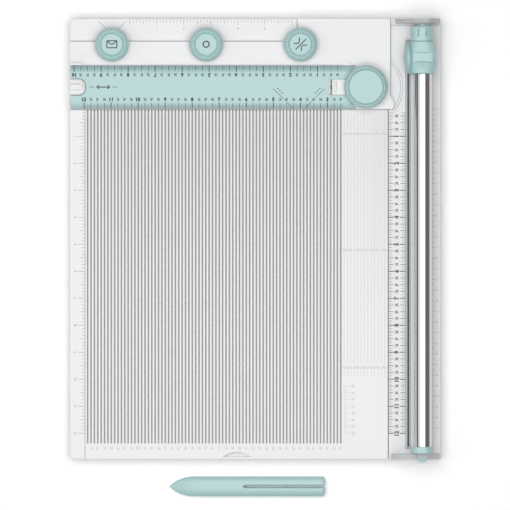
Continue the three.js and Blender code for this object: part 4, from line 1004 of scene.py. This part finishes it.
class TRIMMER_OT_carriage(TrimmerStep, bpy.types.Operator):
    """Carriage: a crowned barrel round the rail with a finger saddle, and the blade housing's inner
    wall"""

    bl_idname = "trimmer.carriage"
    bl_label = "Carriage"

    def execute(self, context):
        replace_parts(self.barrel(), "carriage_body")
        self.housing_wall()
        return {"FINISHED"}

    def barrel(self):
        """Section at each y: the superellipse x = w |sin a|^(2/n), z = h |cos a|^(2/n). Across the
        saddle it is low and square (h = floor, n = 5); from the saddle's edge, near + spread
        (x/w)^2, it rises over a small step and then as a quarter sine, q = 0.35 step + 0.65 sin(s
        pi/2), to the full height and a rounder section; both ends turn in on a small round."""
        lowest, highest = low("carriage_body"), high("carriage_body")
        half = (highest[1] - lowest[1]) / 2
        deep = RAIL[2] - lowest[2] - 0.05 * MM
        wide, floor, full, aside = 12.0 * MM, 9.9 * MM, 13.2 * MM, 0.4 * MM
        near, spread, end_round = 3.6 * MM, 1.8 * MM, 1.0 * MM
        bore = (high("rail_tube")[0] - low("rail_tube")[0]) / 2 + 1.4 * MM
        a = np.linspace(0, 2 * math.pi, 160, endpoint=False)
        turn_in = end_round * (1 - np.cos(np.linspace(0, math.pi / 2, 6)))
        between = np.linspace(end_round - half, half - end_round, 110)[1:-1]
        y = np.concatenate([turn_in - half, between, half - turn_in[::-1]])[:, None]
        past = (np.abs(y) - (half - end_round)).clip(0) / end_round
        inset = end_round * (1 - np.sqrt((1 - past ** 2).clip(0)))
        edge = near + spread * np.abs(np.sin(a)) ** 0.8
        s = ((np.abs(y) - edge) / (half - near)).clip(0, 1)
        step = (s / 0.05).clip(0, 1)
        q = 0.35 * step * step * (3 - 2 * step) + 0.65 * np.sin(math.pi / 2 * s)
        power = 2 / (5 - 2.5 * q)
        top = floor + (full - floor) * q
        height = np.where(np.cos(a) > 0, top, deep) - inset
        x = (wide - inset) * np.sign(np.sin(a)) * np.abs(np.sin(a)) ** power
        z = height * np.sign(np.cos(a)) * np.abs(np.cos(a)) ** power
        outside = np.stack([RAIL[0] - aside + x, BLADE[1] + y + 0 * x, RAIL[2] + z], axis=-1)
        ring = np.stack([RAIL[0] + bore * np.sin(a), BLADE[1] + 0 * a,
                         RAIL[2] + bore * np.cos(a)], axis=-1)
        front, back = ring - (0, half, 0), ring + (0, half, 0)
        points = np.concatenate([front[None], outside, back[None], front[None]])
        mesh = closed_mesh("carriage_barrel", points, grid_faces(len(points), len(a)))
        return show(mesh, mesh.name, "teal_abs", "carriage", smooth=50.0)

    def housing_wall(self):
        """Round wall between the blade and the barrel: a turned disc about the blade's axis that
        narrows to a hub inside the barrel; its lower part is cut flat by lifting every point to the
        carriage's underside."""
        radius = (high("carriage_body")[1] - low("carriage_body")[1]) / 2
        x0 = low("carriage_body")[0] - CUT_X
        hub = 8.6 * MM
        outline = [(0, x0), (radius, x0), (radius, x0 + 0.8 * MM),
                   (radius - 2.4 * MM, x0 + 1.7 * MM), (hub, x0 + 3.6 * MM), (hub, x0 + 5 * MM),
                   (0, x0 + 5 * MM)]
        points, faces = turned(rounded(outline, 0.5 * MM), BLADE, "X", 96)
        points[..., 2] = np.maximum(points[..., 2], low("carriage_body")[2] + 0.05 * MM)
        mesh = closed_mesh("housing_wall", points, faces)
        show(mesh, mesh.name, "teal_abs", "carriage")


class TRIMMER_OT_scoring_tool(TrimmerStep, bpy.types.Operator):
    """Loose scoring tool: a crowned bar split from one end, with a leaf-shaped tip at the other"""

    bl_idname = "trimmer.scoring_tool"
    bl_label = "Scoring tool"

    def execute(self, context):
        """Half of the section at each place along the tool is an arch: y = slot + (w - slot) * s, z
        = h(x) * crown, crown = (1 - |s|^p)^(1/p); the two halves meet where the slot ends."""
        lowest, highest = low("scoring_tool"), high("scoring_tool")
        mid_y = (lowest[1] + highest[1]) / 2
        half_w, height = (highest[1] - lowest[1]) / 2, highest[2] - lowest[2]
        slot_half, slot_start = 1.05 * MM, highest[0] - 77.3 * MM
        tip, tip_height = 23 * MM, 2.5 * MM
        end_round = 3 * MM
        end_x = highest[0] - end_round
        x = np.concatenate([lowest[0] + tip * np.linspace(0, 1, 28) ** 1.6,
                            np.linspace(lowest[0] + tip, end_x, 90)[1:],
                            end_x + end_round * np.sin(np.linspace(0, math.pi / 2, 10))[1:]])
        arc_r = (tip ** 2 + half_w ** 2) / (2 * half_w)
        back = np.clip(lowest[0] + tip - x, 0, tip)
        wide = np.sqrt(arc_r ** 2 - back ** 2) - (arc_r - half_w)
        ahead = np.clip(x - end_x, 0, end_round)
        wide = np.maximum(wide - (end_round - np.sqrt(end_round ** 2 - ahead ** 2)), 1e-5)
        rise = np.clip((x - lowest[0]) / (1.6 * tip), 0, 1)
        tall = tip_height + (height - tip_height) * (rise * (2 - rise))
        tall = tall - 1.2 * MM * (ahead / end_round) ** 2
        gap = slot_half * np.sqrt(np.clip((x - slot_start) / (2 * slot_half), 0, 1))
        for side, name in ((1, "rear"), (-1, "front")):
            s = np.linspace(0, 1, 24)
            crown = (1 - s ** 3.2) ** (1 / 3.2)
            inner_lip = 1 - 0.12 * np.exp(-s * 26)
            flat = 0.32
            top_y = gap[:, None] + (wide - gap)[:, None] * s
            full_s = top_y / wide.max()
            lip = np.where(gap[:, None] > 0, inner_lip, 1)
            top_z = tall[:, None] * (flat + (1 - flat) * crown * (1 - 0.10 * full_s ** 2)) * lip
            top = np.stack([np.repeat(x[:, None], len(s), 1), mid_y + side * top_y, top_z], axis=-1)
            foot = [np.stack([x, mid_y + side * y, np.full_like(x, z)], axis=-1)[:, None]
                    for y, z in ((wide, 0.5 * MM), ((wide - 0.5 * MM).clip(0), 0.0), (gap, 0.0))]
            rows = np.concatenate([top, *foot], axis=1)
            nose = np.repeat(rows[:1].mean(axis=1, keepdims=True), rows.shape[1], axis=1)
            tail = np.repeat(rows[-1:].mean(axis=1, keepdims=True), rows.shape[1], axis=1)
            points = np.concatenate([nose, rows, tail])
            mesh = closed_mesh(f"tool_{name}_leg", points, grid_faces(len(points), points.shape[1]))
            piece = show(mesh, mesh.name, "teal_abs", "tool", smooth=40.0)
            if side == 1:
                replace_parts(piece, "scoring_tool")
        return {"FINISHED"}


class TRIMMER_OT_stage(TrimmerStep, bpy.types.Operator):
    """Pale floor, two soft boxes overhead, and a camera looking straight down"""

    bl_idname = "trimmer.stage"
    bl_label = "Stage"

    def execute(self, context):
        scene = bpy.context.scene
        scene.view_settings.view_transform = "Standard"
        floor_mesh = bpy.data.meshes.new("floor")
        reach = 12.0
        corners = [(-reach, -reach, 0), (reach, -reach, 0), (reach, reach, 0), (-reach, reach, 0)]
        floor_mesh.from_pydata(corners, [], [(0, 1, 2, 3)])
        material, tree = finish("matt white paper floor")
        shader = node(tree, "ShaderNodeBsdfPrincipled", Roughness=0.9)
        shader.inputs["Base Color"].default_value = (1.0, 1.0, 1.0, 1.0)
        surface(tree, shader)
        floor_mesh.materials.append(material)
        floor = bpy.data.objects.new("floor", floor_mesh)
        scene.collection.objects.link(floor)
        world = bpy.data.worlds.new("studio")
        world.use_nodes = True
        world.node_tree.nodes["Background"].inputs["Color"].default_value = (1.0, 1.0, 1.0, 1.0)
        world.node_tree.nodes["Background"].inputs["Strength"].default_value = 0.2
        scene.world = world
        self.soft_box("key", (0.0, 0.0, 1.5), (1.3, 1.5), 2.35)
        self.soft_box("rail_strip", (-1.05, 0.0, 1.49), (4.1, 1.6), 0.95)
        self.camera(scene)
        return {"FINISHED"}

    def soft_box(self, name, place, size, radiance):
        """Soft box that faces down: its power is radiance * pi * width * depth."""
        light = bpy.data.lights.new(name, "AREA")
        light.shape = "RECTANGLE"
        light.size, light.size_y = size
        light.energy = radiance * math.pi * size[0] * size[1]
        lamp = bpy.data.objects.new(name, light)
        lamp.location = place
        lamp.visible_camera = False
        bpy.context.scene.collection.objects.link(lamp)

    def camera(self, scene):
        """Camera far above the panels, whose field is as wide as the board and a margin."""
        distance, field = 6.0, 0.4798
        data = bpy.data.cameras.new("overhead")
        data.sensor_width = 36.0
        data.lens = data.sensor_width * distance / field
        data.clip_end = 40.0
        camera = bpy.data.objects.new("overhead", data)
        centre = (BOARD_LOW + BOARD_HIGH) / 2
        camera.location = (centre[0] - 0.2 * MM, centre[1] - 15.2 * MM, PANEL_Z + distance)
        scene.collection.objects.link(camera)
        scene.camera = camera


STEPS = (TRIMMER_OT_finishes, TRIMMER_OT_mouldings, TRIMMER_OT_punch_buttons,
         TRIMMER_OT_pivot_button, TRIMMER_OT_arm_print, TRIMMER_OT_panel_print,
         TRIMMER_OT_ledge_print, TRIMMER_OT_strip_print, TRIMMER_OT_rail, TRIMMER_OT_carriage,
         TRIMMER_OT_scoring_tool, TRIMMER_OT_stage)


class TRIMMER_PT_panel(bpy.types.Panel):
    """Sizes, colours and steps of the trimmer's looks"""

    bl_idname = "TRIMMER_PT_panel"
    bl_label = "Paper Trimmer"
    bl_space_type = "VIEW_3D"
    bl_region_type = "UI"
    bl_category = "Trimmer"

    def draw(self, context):
        for group in (context.scene.trimmer_sizes, context.scene.trimmer_colours):
            for name in group.bl_rna.properties.keys():
                if name not in ("rna_type", "name"):
                    self.layout.prop(group, name)
        for step in STEPS:
            self.layout.operator(step.bl_idname)


CLASSES = (TrimmerSizes, TrimmerColours, *STEPS, TRIMMER_PT_panel)


def register():
    for cls in CLASSES:
        bpy.utils.register_class(cls)
    bpy.types.Scene.trimmer_sizes = PointerProperty(type=TrimmerSizes)
    bpy.types.Scene.trimmer_colours = PointerProperty(type=TrimmerColours)


def unregister():
    del bpy.types.Scene.trimmer_sizes
    del bpy.types.Scene.trimmer_colours
    for cls in reversed(CLASSES):
        bpy.utils.unregister_class(cls)


def main():
    """Runs every step in order."""
    register()
    for step in STEPS:
        group, name = step.bl_idname.split(".")
        getattr(getattr(bpy.ops, group), name)()


if __name__ == "__main__":
    main()
